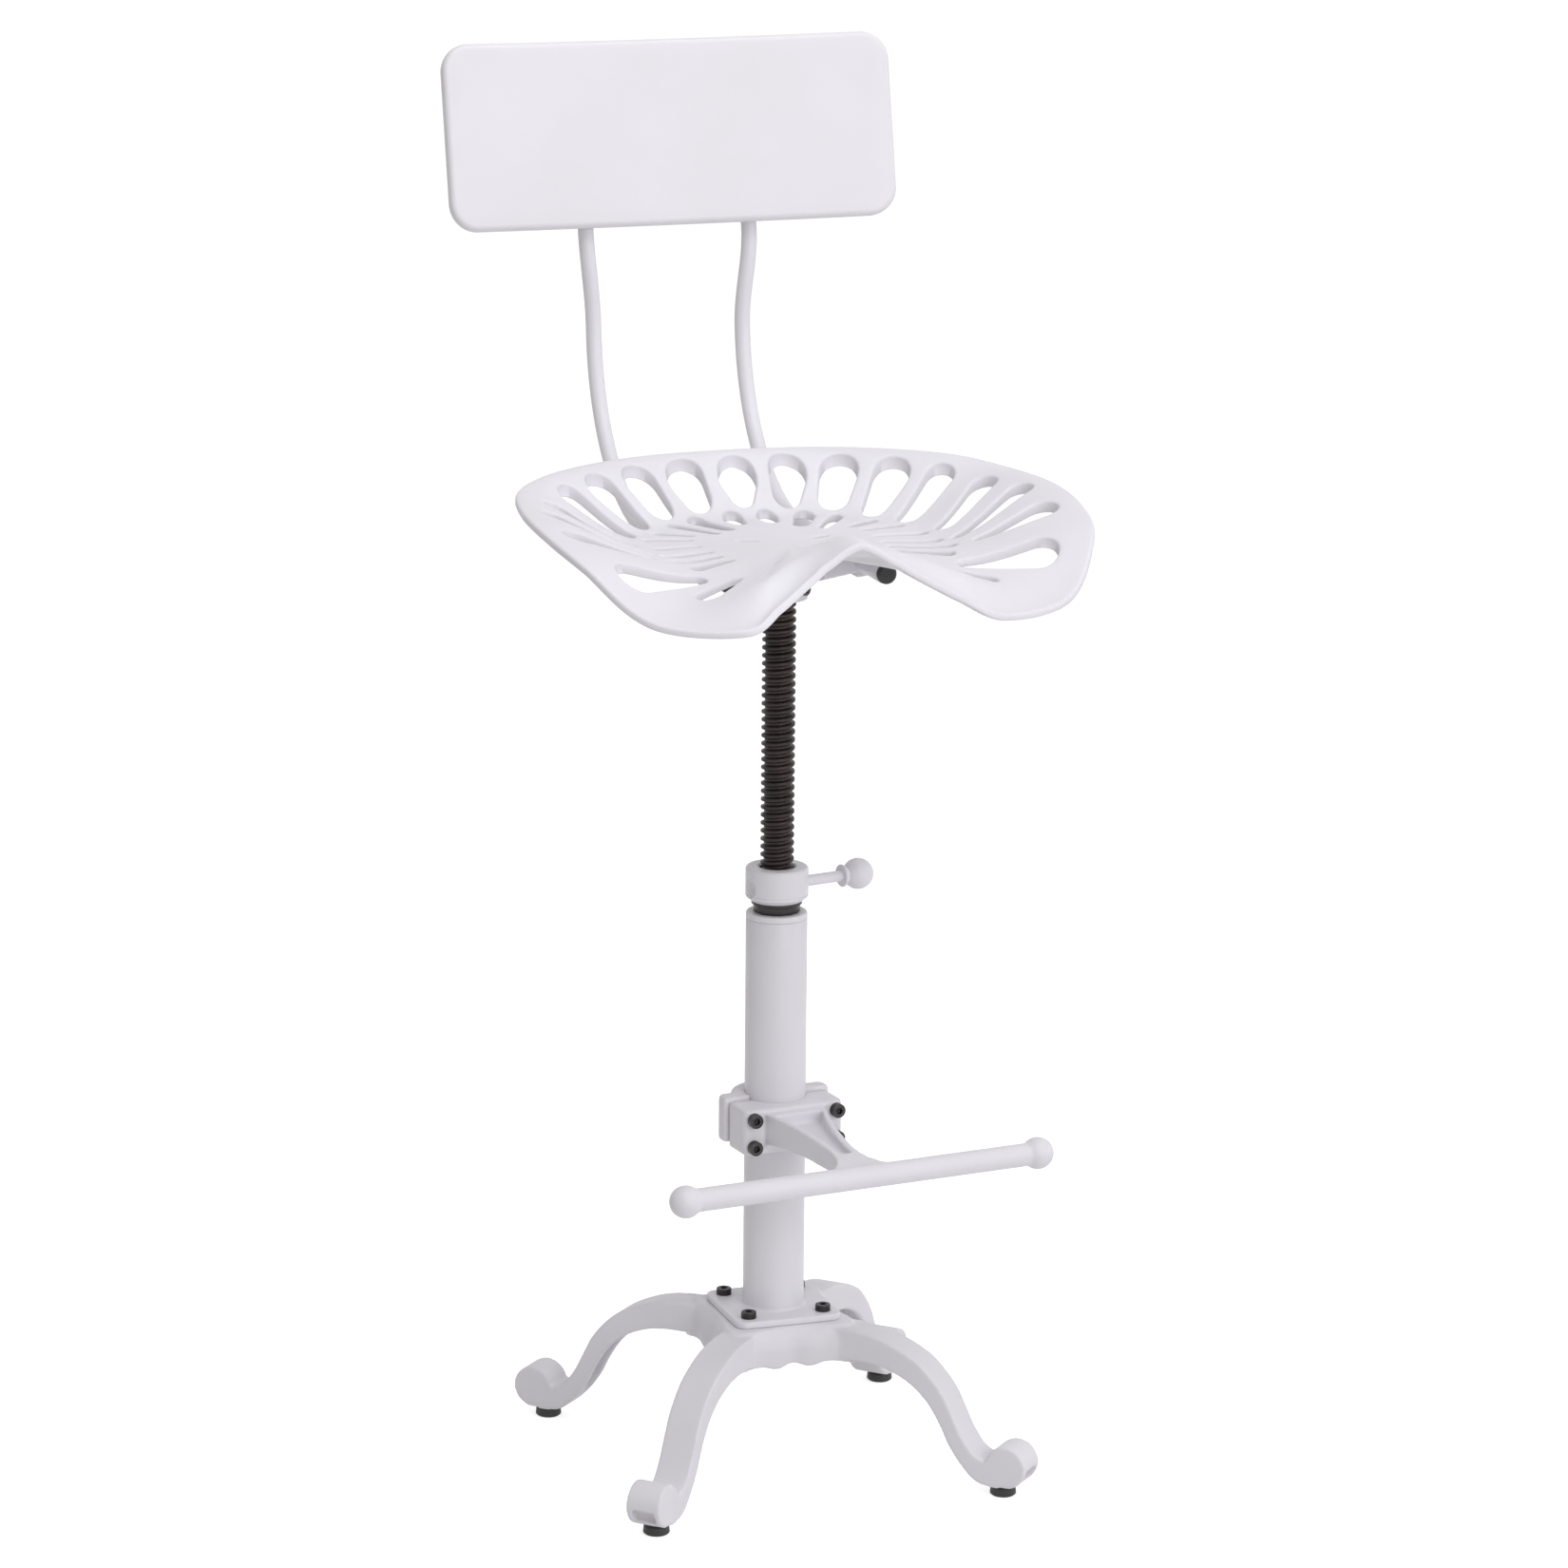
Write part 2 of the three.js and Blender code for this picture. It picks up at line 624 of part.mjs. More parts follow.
function seatBracket() {
  const halfSpacing = sleeveSpacing / 2;
  const webBottom = bracketTop - webThickness;
  const boss = rod(bossRadius, bossBottom, bracketTop, 24);
  const web = box(sleeveSpacing, 2 * webHalfDepth, webThickness)
    .translate(0, 0, bracketTop - webThickness / 2);
  const pieces = [boss, web];
  for (const side of [-1, 1]) {
    const sleeve = alongY(rod(sleeveRadius, sleeveFront, sleeveRear, 16));
    pieces.push(sleeve.translate(side * halfSpacing, 0, backTubeHeight));
    const fin = extrude([
      [sleeveFront + finThickness, 0], [sleeveRear - finThickness, 0], [webHalfDepth, -finDrop],
      [-finThickness, -finDrop]], finThickness);
    fin.rotateX(Math.PI / 2).rotateZ(Math.PI / 2);
    pieces.push(fin.translate(side * halfSpacing - finThickness / 2, 0, backTubeHeight));
    for (const place of [-1, 1]) {
      const rib = extrude([
        [0, webBottom + webThickness / 2], [side * halfSpacing, webBottom + webThickness / 2],
        [side * halfSpacing, backTubeHeight - sleeveRadius], [side * bossRadius, webBottom - ribRootDrop],
        [0, webBottom - ribRootDrop]], ribThickness);
      rib.rotateX(Math.PI / 2);
      pieces.push(rib.translate(0, place * webHalfDepth / 2 + ribThickness / 2, 0));
    }
  }
  const bore = rod(rodRadius + seatingGap, bossBottom - cutOverrun, rodTop + seatingGap, 20);
  const tools = [bore];
  for (const side of [-1, 1]) {
    const passage = alongY(
      rod(sleeveRadius - sleeveWall, sleeveFront - cutOverrun, sleeveRear + cutOverrun, 16));
    tools.push(passage.translate(side * halfSpacing, 0, backTubeHeight));
  }
  for (const [x, y] of boltPlaces()) {
    tools.push(rod(seatBolt.shankRadius + seatingGap, webBottom - cutOverrun, bracketTop + cutOverrun, 12)
      .translate(x, y, 0));
    tools.push(rod(seatBolt.headRadius + boltSinkGap, webBottom - 2 * ribRootDrop, webBottom, 16)
      .translate(x, y, 0));
  }
  for (const azimuth of bossScrewAzimuths) {
    const hole = rod(bossScrew.shankRadius + seatingGap, 0, 2 * bossRadius, 12);
    tools.push(alongHandle(hole, azimuth, bossBottom + bossScrewLift));
  }
  return cut(join(pieces.map(solid)), tools.map(solid));
}

// Back tubes. Behind the panel they lie along its back face.
const tubeOffset = panelThickness / 2 + backTubeRadius + seatingGap;
const tubeDepthAtPanel = panelBow(upperHalfSpacing) + tubeOffset;
const kneeHeight = panelCentreHeight - kneeDrop;
const kneeDepth = panelCentreDepth + tubeDepthAtPanel / Math.cos(panelRecline)
  - kneeDrop * Math.tan(panelRecline);

// a level run, a bend, an S between the two spacings and a straight rise behind the panel
class BackTubePath extends THREE.Curve {
  constructor(side) {
    super();
    const low = side * sleeveSpacing / 2;
    const high = side * upperHalfSpacing;
    const bendPoints = [];
    for (let i = 0; i <= bendPieces; i += 1) {
      const angle = bendAngle * i / bendPieces;
      const depth = bendStart + bendRadius * Math.sin(angle);
      const rise = bendRadius * (1 - Math.cos(angle));
      bendPoints.push(new THREE.Vector3(low, depth, backTubeHeight + rise));
    }
    const bendEnd = bendPoints[bendPieces];
    const knee = new THREE.Vector3(high, kneeDepth, kneeHeight);
    const risen = panelCentreHeight + tubeReachShare * panelHeight - kneeHeight;
    const top = new THREE.Vector3(high, kneeDepth + risen * Math.tan(panelRecline), kneeHeight + risen);
    const handle = kneeHandleShare * bendEnd.distanceTo(knee);
    const leave = new THREE.Vector3(0, Math.cos(bendAngle), Math.sin(bendAngle));
    leave.multiplyScalar(handle);
    const arrive = new THREE.Vector3(0, Math.sin(panelRecline), Math.cos(panelRecline));
    arrive.multiplyScalar(handle);
    this.parts = [
      new THREE.LineCurve3(new THREE.Vector3(low, sleeveFront, backTubeHeight), bendPoints[0]),
      new THREE.CatmullRomCurve3(bendPoints),
      new THREE.CubicBezierCurve3(bendEnd, leave.add(bendEnd), knee.clone().sub(arrive), knee),
      new THREE.LineCurve3(knee, top)];
    this.lengths = this.parts.map((part) => part.getLength());
    this.total = this.lengths.reduce((sum, length) => sum + length, 0);
  }

  getPoint(share, target = new THREE.Vector3()) {
    let left = share * this.total;
    let i = 0;
    while (i < this.parts.length - 1 && left > this.lengths[i]) {
      left -= this.lengths[i];
      i += 1;
    }
    return target.copy(this.parts[i].getPointAt(Math.min(left / this.lengths[i], 1)));
  }
}

function circleShape(radius, sides) {
  const points = [];
  for (let i = 0; i < sides; i += 1) {
    const angle = 2 * Math.PI * i / sides;
    points.push(new THREE.Vector2(radius * Math.cos(angle), radius * Math.sin(angle)));
  }
  return new THREE.Shape(points);
}

function backTube(side) {
  const tube = solid(new THREE.ExtrudeGeometry(circleShape(backTubeRadius, backTubeSides), {
    steps: backTubeSteps, extrudePath: new BackTubePath(side), bevelEnabled: false,
  }));
  const bore = alongY(rod(tubeBore, sleeveFront - cutOverrun, sleeveFront + tubeBoreDepth, 12));
  const tools = [bore.translate(side * sleeveSpacing / 2, 0, backTubeHeight)];
  for (const [x, z] of panelScrewPlaces()) {
    if (x * side > 0) {
      const hole = alongY(
        rod(panelScrew.shankRadius + seatingGap, -2 * backTubeRadius, 2 * backTubeRadius, 10));
      tools.push(inPanelFrame(hole.translate(x, tubeDepthAtPanel, z)));
    }
  }
  return cut(tube, tools.map(solid));
}

function inPanelFrame(geometry) {
  return geometry.rotateX(-panelRecline).translate(0, panelCentreDepth, panelCentreHeight);
}

function tubePlug(side) {
  const face = sleeveFront - seatingGap;
  const plug = lathe([
    [0, face - plugThickness], [plugRadius - plugRound, face - plugThickness],
    [plugRadius, face - plugThickness + plugRound],
    [plugRadius, face], [plugStemRadius, face], [plugStemRadius, face + plugStemLength],
    [0, face + plugStemLength]], 18);
  return alongY(plug).translate(side * sleeveSpacing / 2, 0, backTubeHeight);
}

// Backrest panel: a bent board whose outline has rounded corners
function panelBow(x) {
  return Math.sqrt(panelBendRadius ** 2 - x ** 2) - panelBendRadius;
}

function panelSection() {
  const half = panelWidth / 2;
  const points = [];
  for (let i = 0; i <= panelSegments; i += 1) {
    const x = half - panelWidth * i / panelSegments;
    points.push([x, panelBow(x) + panelThickness / 2]);
  }
  for (let i = 0; i <= panelSegments; i += 1) {
    const x = panelWidth * i / panelSegments - half;
    points.push([x, panelBow(x) - panelThickness / 2]);
  }
  return points;
}

function panelScrewPlaces() {
  const places = [];
  for (const x of [-upperHalfSpacing, upperHalfSpacing]) {
    for (const z of [-panelScrewPitch / 2, panelScrewPitch / 2]) places.push([x, z]);
  }
  return places;
}

function backrestPanel() {
  const board = extrude(panelSection(), panelHeight, panelEdge).translate(0, 0, -panelHeight / 2);
  const outline = extrude(
    roundedRectangle(panelWidth / 2 - panelEdge / 8, panelHeight / 2, panelCorner), 4 * panelThickness);
  outline.rotateX(Math.PI / 2).translate(0, 2 * panelThickness, 0);
  const body = solid(board).intersect(solid(outline));
  const holes = panelScrewPlaces().map(([x, z]) => {
    const hole = alongY(rod(panelScrew.shankRadius + seatingGap, panelHoleFloor, panelThickness, 10));
    return solid(hole.translate(x, panelBow(x), z));
  });
  return cut(body, holes);
}

// Seat casting
function periodicShares(rows, column, mirrored) {
  const angles = [];
  const values = [];
  rows.forEach((row) => {
    angles.push(row[0]);
    values.push(row[column]);
  });
  for (let i = rows.length - 2; i >= 0; i -= 1) {
    angles.push(360 - rows[i][0]);
    values.push(mirrored ? -rows[i][column] : rows[i][column]);
  }
  return { angles, values };
}

// a smooth closed curve through the shares, with slopes from the neighbours on either side
function periodicValue(table, angle) {
  const { angles, values } = table;
  const turn = ((angle % 360) + 360) % 360;
  let i = 0;
  while (i < angles.length - 2 && turn > angles[i + 1]) i += 1;
  const last = angles.length - 1;
  const before = i > 0 ? i - 1 : last - 1;
  const after = i + 2 <= last ? i + 2 : 1;
  const span = angles[i + 1] - angles[i];
  const spanBefore = i > 0 ? angles[i] - angles[before] : 360 - angles[last - 1];
  const spanAfter = i + 2 <= last ? angles[after] - angles[i + 1] : angles[1];
  const slopeHere = (values[i + 1] - values[before]) / (span + spanBefore) * span;
  const slopeNext = (values[after] - values[i]) / (span + spanAfter) * span;
  const t = (turn - angles[i]) / span;
  return (2 * t ** 3 - 3 * t ** 2 + 1) * values[i] + (t ** 3 - 2 * t ** 2 + t) * slopeHere
    + (-2 * t ** 3 + 3 * t ** 2) * values[i + 1] + (t ** 3 - t ** 2) * slopeNext;
}

const rimX = periodicShares(seatRimShares, 1, true);
const rimY = periodicShares(seatRimShares, 2, false);
const rimZ = periodicShares(seatRimShares, 3, false);
const wallStart = periodicShares(seatWallShares, 1, false);
const wallEnd = periodicShares(seatWallShares, 2, false);
const beadDepth = periodicShares(seatDepthShares, 1, false);
const lipDrop = periodicShares(seatLipShares, 1, false);

function seatPoint(angle, share) {
  const start = periodicValue(wallStart, angle);
  const end = periodicValue(wallEnd, angle);
  const climb = THREE.MathUtils.clamp((share - start) / (end - start), 0, 1);
  const ease = climb * climb * (3 - 2 * climb);
  const curl = THREE.MathUtils.clamp((share - seatLipStart) / (1 - seatLipStart), 0, 1);
  const lip = periodicValue(lipDrop, angle);
  const rise = ease * (periodicValue(rimZ, angle) + lip) - curl * curl * (3 - 2 * curl) * lip;
  const reach = periodicValue(rimY, angle);
  return new THREE.Vector3(
    share * periodicValue(rimX, angle) * seatHalfWidth,
    discY + share * reach * (reach > 0 ? seatBackReach : seatFrontReach),
    seatFloor + rise * seatRimHeight);
}

function seatNormal(angle, share) {
  const step = 0.01;
  const along = seatPoint(angle, share + step).sub(seatPoint(angle, share - step));
  const around = seatPoint(angle - 1, share).sub(seatPoint(angle + 1, share));
  return along.cross(around).normalize();
}

function seatDepth(angle, share) {
  const inner = THREE.MathUtils.clamp((share - seatDiscShare) / (seatBeadShare - seatDiscShare), 0, 1);
  const outer = THREE.MathUtils.clamp((share - seatBeadShare) / (1 - seatBeadShare), 0, 1);
  return seatThickness * (1 + (periodicValue(beadDepth, angle) - 1) * (inner - outer));
}

function seatShell() {
  const angles = Array.from({ length: seatSegments }, (_, i) => -360 * i / seatSegments);
  const topRings = seatTopShares.map((share) => angles.map((angle) => seatPoint(angle, share)));
  const underRings = seatUnderShares.map((share) => angles.map((angle) =>
    seatPoint(angle, share).addScaledVector(seatNormal(angle, share), -seatDepth(angle, share))));
  const edge = angles.map((angle) => {
    const rim = seatPoint(angle, 1).addScaledVector(seatNormal(angle, 1), -seatThickness / 2);
    const outwards = seatPoint(angle, 1).sub(seatPoint(angle, 0.99)).normalize();
    return rim.addScaledVector(outwards, seatThickness / 3);
  });
  const centre = new THREE.Vector3(0, discY, seatFloor);
  const rings = [...underRings, edge, ...topRings.reverse()];
  return skin(rings, centre.clone().setZ(seatUnderside), centre);
}

// a slot runs straight between two points of the surface, with a round end of its own width at each
function slotTool([outerAngle, outer, innerAngle, inner, outerShare, innerShare], side) {
  const from = seatPoint(side * innerAngle, inner);
  const to = seatPoint(side * outerAngle, outer);
  const run = Math.atan2(to.y - from.y, to.x - from.x);
  const length = Math.hypot(to.y - from.y, to.x - from.x);
  const near = innerShare * slotWidth / 2;
  const far = outerShare * slotWidth / 2;
  const lean = Math.asin((far - near) / (length - near - far));
  const points = [];
  for (let i = 0; i <= slotSides / 2; i += 1) {
    const turn = (Math.PI + 2 * lean) * (i / (slotSides / 2) - 0.5);
    points.push([length - far + far * Math.cos(turn), far * Math.sin(turn)]);
  }
  for (let i = 0; i <= slotSides / 2; i += 1) {
    const turn = Math.PI + (Math.PI - 2 * lean) * (i / (slotSides / 2) - 0.5);
    points.push([near + near * Math.cos(turn), near * Math.sin(turn)]);
  }
  const tool = extrude(points, 4 * seatRimHeight).rotateZ(run);
  return solid(tool.translate(from.x, from.y, seatFloor - 2 * seatRimHeight));
}

function seatCasting() {
  const tools = [];
  for (const row of seatSlotShares) {
    tools.push(slotTool(row, 1));
    if (row[0] > 0) tools.push(slotTool(row, -1));
  }
  for (const [x, y] of boltPlaces()) {
    tools.push(solid(rod(seatBolt.shankRadius + seatingGap, seatUnderside - cutOverrun,
      seatUnderside + 0.75 * seatThickness, 12).translate(x, y, 0)));
  }
  return cut(solid(seatShell()), tools);
}

// Footrest
function clampOutline(halfWidth, front, back) {
  const shape = new THREE.Shape();
  shape.moveTo(halfWidth, back);
  shape.lineTo(-halfWidth, back);
  shape.lineTo(-halfWidth, front + clampCorner);
  shape.absarc(-halfWidth + clampCorner, front + clampCorner, clampCorner, Math.PI, 1.5 * Math.PI);
  shape.absarc(halfWidth - clampCorner, front + clampCorner, clampCorner, 1.5 * Math.PI, 2 * Math.PI);
  return shape;
}

function clampScrewPlaces() {
  const middle = clampBottom + clampHeight / 2;
  const places = [];
  for (const x of [-clampScrewSpread / 2, clampScrewSpread / 2]) {
    for (const z of [middle - clampScrewPitch / 2, middle + clampScrewPitch / 2]) places.push([x, z]);
  }
  return places;
}

// a clamp screw enters from the front, so its head faces -Y
function facingFront(geometry, x, y, z) {
  return geometry.rotateX(Math.PI / 2).translate(x, y, z);
}

function clampTools() {
  const bore = rod(tubeRadius + seatingGap, clampBottom - cutOverrun,
    clampBottom + rearLift + clampHeight + cutOverrun, columnSegments);
  const holes = clampScrewPlaces().map(([x, z]) =>
    facingFront(screwHole(clampScrew, 3 * clampFront), x, -clampFront, z));
  return [bore, ...holes].map(solid);
}

function armPlan(inset) {
  const waist = -clampFront - armWaistShare * (barReach - clampFront);
  const shape = new THREE.Shape();
  const root = armRootHalf - inset;
  const neck = armWaistHalf - inset * 0.9;
  const start = inset > 0 ? -clampFront - inset : -clampFront + cutOverrun;
  const end = inset > 0 ? waist - inset : -barReach;
  const flare = inset > 0 ? neck : armFlareHalf;
  shape.moveTo(root, start);
  shape.quadraticCurveTo(neck + (root - neck) * 0.15, start + (waist - start) * 0.45, neck, waist);
  shape.quadraticCurveTo(neck, end + (waist - end) * 0.3, flare, end);
  shape.lineTo(-flare, end);
  shape.quadraticCurveTo(-neck, end + (waist - end) * 0.3, -neck, waist);
  shape.quadraticCurveTo(-neck - (root - neck) * 0.15, start + (waist - start) * 0.45, -root, start);
  return shape;
}

function footrestArm() {
  const plan = solid(extrude(armPlan(0), 4 * clampHeight).translate(0, 0, clampBottom - clampHeight));
  const top = clampBottom + clampHeight - armTopDrop;
  const side = extrude([
    [-clampFront + cutOverrun, clampBottom], [-clampFront + cutOverrun, top],
    [-clampFront - armTopDrop, top],
    [-barReach, barHeight + barRadius * 0.8], [-barReach, barHeight - barRadius * 0.8],
    [-clampFront - (barReach - clampFront) / 3, clampBottom + armUnderRise],
    [-clampFront - armTopDrop, clampBottom + armUnderRise]].reverse(), 4 * armFlareHalf);
  side.rotateX(Math.PI / 2).rotateZ(Math.PI / 2).translate(-2 * armFlareHalf, 0, 0);
  const floor = extrude([
    [-clampFront + cutOverrun, top - armPocketDepth], [-clampFront + cutOverrun, top + clampHeight],
    [-barReach, top + clampHeight],
    [-barReach, barHeight + barRadius * 0.8 - armPocketDepth / 2]].reverse(),
  4 * armFlareHalf);
  floor.rotateX(Math.PI / 2).rotateZ(Math.PI / 2).translate(-2 * armFlareHalf, 0, 0);
  const pocket = solid(
    extrude(armPlan(armPocketWall), 4 * clampHeight).translate(0, 0, clampBottom - clampHeight));
  return plan.intersect(solid(side)).subtract(pocket.intersect(solid(floor)));
}

function footrestCasting() {
  const outline = clampOutline(clampHalfWidth, -clampFront, clampSplit);
  const block = solid(extrude(outline, clampHeight, clampBevel).translate(0, 0, clampBottom));
  const bar = rod(barRadius, -barHalfLength, barHalfLength, 20);
  bar.rotateY(Math.PI / 2).translate(0, -barReach, barHeight);
  const balls = [-1, 1].map((side) =>
    solid(new THREE.SphereGeometry(barBallRadius, 20, 12)
      .translate(side * barHalfLength, -barReach, barHeight)));
  return cut(join([block, footrestArm(), solid(bar), ...balls]), clampTools());
}

function clampRear() {
  const front = clampSplit + splitGap;
  const cornerY = front + rearFlange - rearCorner;
  const bottom = clampBottom + rearLift;
  const outline = new THREE.Shape();
  outline.moveTo(-rearHalfWidth, front);
  outline.lineTo(rearHalfWidth, front);
  outline.absarc(rearHalfWidth - rearCorner, cornerY, rearCorner, 0, Math.PI / 2);
  outline.absarc(-rearHalfWidth + rearCorner, cornerY, rearCorner, Math.PI / 2, Math.PI);
  const flange = solid(extrude(outline, clampHeight, clampBevel).translate(0, 0, bottom));
  const saddle = solid(lathe([
    [0, bottom], [rearSaddleRadius - clampBevel, bottom], [rearSaddleRadius, bottom + clampBevel],
    [rearSaddleRadius, bottom + clampHeight - clampBevel],
    [rearSaddleRadius - clampBevel, bottom + clampHeight], [0, bottom + clampHeight]]));
  const behind = solid(box(4 * rearHalfWidth, 2 * rearHalfWidth, 2 * clampHeight)
    .translate(0, front + rearHalfWidth, bottom + clampHeight / 2));
  return cut(saddle.intersect(behind).add(flange), clampTools());
}

// Assembly
const stool = new THREE.Group();

function addBase() {
  addMesh(stool, "base_casting", baseCasting(), whitePaint);
  [[1, 1], [-1, 1], [-1, -1], [1, -1]].forEach(([x, y], i) => {
    const glide = addMesh(stool, `foot_glide_${i + 1}`, glideGeometry(), blackPlastic);
    glide.position.set(x * glideSpacing / 2, y * glideSpacing / 2, 0);
  });
  addMesh(stool, "flange_plate", flangePlate(), whitePaint);
  plateScrewPlaces().forEach(([x, y], i) => {
    const screw = addMesh(stool, `flange_screw_${i + 1}`, screwGeometry(plateScrew), blackSteel);
    screw.position.set(x, y, plateTop);
  });
}

function addColumn() {
  addMesh(stool, "column_tube", columnTube(), whitePaint);
  addMesh(stool, "column_top_ring", columnTopRing(), whitePaint);
  addMesh(stool, "thread_bush", threadBush(), blackSteel);
  addMesh(stool, "lock_collar", lockCollar(), whitePaint);
}

function addLockHandle() {
  const handle = new THREE.Group();
  handle.position.z = bushTop + handleLift;
  handle.rotation.set(0, Math.PI / 2, handleAzimuth, "ZYX");
  stool.add(handle);
  const bar = rod(handleRodRadius, handleTipRadial, knobRadial - knobSocket / 2, 20);
  addMesh(handle, "lock_handle_rod", bar, whitePaint);
  const ballStart = knobRadial - Math.sqrt(knobRadius ** 2 - handleNeckRadius ** 2);
  const profile = [
    [0, handleFlangeRadial], [handleFlangeRadius, handleFlangeRadial],
    [handleFlangeRadius, handleFlangeRadial + handleFlangeThickness],
    [handleNeckRadius, handleFlangeRadial + handleFlangeThickness], [handleNeckRadius, ballStart]];
  const knobSteps = 8;
  const startAngle = Math.asin(handleNeckRadius / knobRadius);
  for (let i = 1; i <= knobSteps; i += 1) {
    const angle = (Math.PI - startAngle) * (1 - i / knobSteps);
    profile.push([knobRadius * Math.sin(angle), knobRadial + knobRadius * Math.cos(angle)]);
  }
  profile[profile.length - 1][0] = 0;
  const rodEnd = knobRadial - knobSocket / 2;
  const socket = rod(
    handleRodRadius + seatingGap, handleFlangeRadial - cutOverrun, rodEnd + seatingGap, 20);
  addMesh(handle, "lock_handle_knob", solid(lathe(profile, 18)).subtract(solid(socket)), whitePaint);
}

function addRod() {
  addMesh(stool, "threaded_rod", threadedRod(), darkThread);
  addMesh(stool, "rod_guide", rodGuide(), blackPlastic);
  const washerTop = rodFoot - rodSpigotLength;
  const washer = pipe(
    stopScrew.shankRadius + seatingGap, stopWasherRadius, washerTop - stopWasherThickness, washerTop, 24);
  addMesh(stool, "rod_stop_washer", washer, blackSteel);
  const screw = addMesh(stool, "rod_stop_screw", screwGeometry(stopScrew), blackSteel);
  screw.rotation.x = Math.PI;
  screw.position.z = washerTop - stopWasherThickness;
}

function addSeat() {
  addMesh(stool, "seat_casting", seatCasting(), whitePaint);
  addMesh(stool, "seat_bracket", seatBracket(), whitePaint);
  boltPlaces().forEach(([x, y], i) => {
    const bolt = addMesh(stool, `seat_bolt_${i + 1}`, screwGeometry(seatBolt), blackSteel);
    bolt.rotation.x = Math.PI;
    bolt.position.set(x, y, bracketTop - webThickness);
  });
  bossScrewAzimuths.forEach((azimuth, i) => {
    const screw = addMesh(stool, `boss_screw_${i + 1}`, screwGeometry(bossScrew), blackSteel);
    screw.rotation.set(0, Math.PI / 2, azimuth, "ZYX");
    screw.position.set((bossRadius + seatingGap) * Math.cos(azimuth),
      (bossRadius + seatingGap) * Math.sin(azimuth), bossBottom + bossScrewLift);
  });
}

function addBack() {
  for (const [side, name] of [[-1, "left"], [1, "right"]]) {
    addMesh(stool, `back_tube_${name}`, backTube(side), whitePaint);
    addMesh(stool, `tube_plug_${name}`, tubePlug(side), blackPlastic);
  }
  const back = new THREE.Group();
  back.position.set(0, panelCentreDepth, panelCentreHeight);
  back.rotation.x = -panelRecline;
  stool.add(back);
  addMesh(back, "backrest_panel", backrestPanel(), whitePaint);
  panelScrewPlaces().forEach(([x, z], i) => {
    const screw = addMesh(back, `back_screw_${i + 1}`, screwGeometry(panelScrew), blackSteel);
    screw.rotation.x = -Math.PI / 2;
    screw.position.set(x, tubeDepthAtPanel + backTubeRadius + seatingGap, z);
  });
}

function addFootrest() {
  const footrest = new THREE.Group();
  footrest.rotation.z = footrestTurn;
  stool.add(footrest);
  addMesh(footrest, "footrest_casting", footrestCasting(), whitePaint);
  addMesh(footrest, "clamp_rear", clampRear(), whitePaint);
  clampScrewPlaces().forEach(([x, z], i) => {
    const screw = addMesh(footrest, `clamp_screw_${i + 1}`, screwGeometry(clampScrew), blackSteel);
    screw.rotation.x = Math.PI / 2;
    screw.position.set(x, -clampFront - seatingGap, z);
  });
}

addBase();
addColumn();
addLockHandle();
addRod();
addSeat();
addBack();
addFootrest();

// The origin goes to the floor under the middle of the stool's box
const model = new THREE.Group();
model.add(stool);
model.updateMatrixWorld(true);
const bounds = new THREE.Box3().setFromObject(stool, true);
const middle = bounds.getCenter(new THREE.Vector3());
stool.position.set(-middle.x, -middle.y, -bounds.min.z);

export default model;
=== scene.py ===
"""Tractor seat stool: the finish of every piece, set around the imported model.

Sizes are in millimetres, in the column's own frame: x and y are zero on the axis of the column and
z is zero on the floor. The function laid moves points to the model's frame, in metres.
"""
import math

import bmesh
import bpy
import numpy as np
from mathutils import Matrix, Vector
from mathutils.geometry import delaunay_2d_cdt


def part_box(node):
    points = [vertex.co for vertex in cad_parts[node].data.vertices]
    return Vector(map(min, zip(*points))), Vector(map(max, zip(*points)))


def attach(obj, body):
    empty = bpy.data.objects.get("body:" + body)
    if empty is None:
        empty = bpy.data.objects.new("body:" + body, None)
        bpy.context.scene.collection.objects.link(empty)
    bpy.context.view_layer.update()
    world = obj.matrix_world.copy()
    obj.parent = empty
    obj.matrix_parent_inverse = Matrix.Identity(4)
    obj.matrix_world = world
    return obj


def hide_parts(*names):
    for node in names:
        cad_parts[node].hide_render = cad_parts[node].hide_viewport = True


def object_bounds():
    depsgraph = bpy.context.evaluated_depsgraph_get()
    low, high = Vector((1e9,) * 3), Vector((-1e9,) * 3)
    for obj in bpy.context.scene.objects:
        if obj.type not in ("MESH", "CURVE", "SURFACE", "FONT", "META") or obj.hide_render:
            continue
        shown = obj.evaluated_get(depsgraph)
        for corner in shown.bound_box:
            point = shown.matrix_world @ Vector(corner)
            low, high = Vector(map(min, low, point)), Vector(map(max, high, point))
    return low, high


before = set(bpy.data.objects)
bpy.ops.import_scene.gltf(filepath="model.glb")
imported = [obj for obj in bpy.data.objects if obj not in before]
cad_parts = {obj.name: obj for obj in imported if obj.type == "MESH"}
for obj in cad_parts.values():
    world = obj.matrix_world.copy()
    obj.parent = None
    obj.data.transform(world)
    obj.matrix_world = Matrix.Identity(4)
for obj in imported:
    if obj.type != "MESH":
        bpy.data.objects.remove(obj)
cad_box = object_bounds()

mm = 0.001
quarter = math.pi / 2
identity = Matrix()
# a radius below this lies on the axis
on_axis = 1e-6
# the play between a bore or a face and what stands in it or on it
play = 0.3
# how far a cutting tool stands out of what it cuts
tool_reach = 20
bevel_segments = 4
bevel_angle = math.radians(50)
smooth_factor = 0.5
merge_distance = 1e-5

# Camera: the photograph's view, in metres from the foot of the column
camera_place = Vector((-1.535155, -4.442218, 1.700868))
camera_azimuth = math.radians(-19.1234)
camera_pitch = math.radians(13.7555)
camera_roll = math.radians(0.5258)
camera_lens = 142.86
camera_sensor = 36.0
camera_far = 200

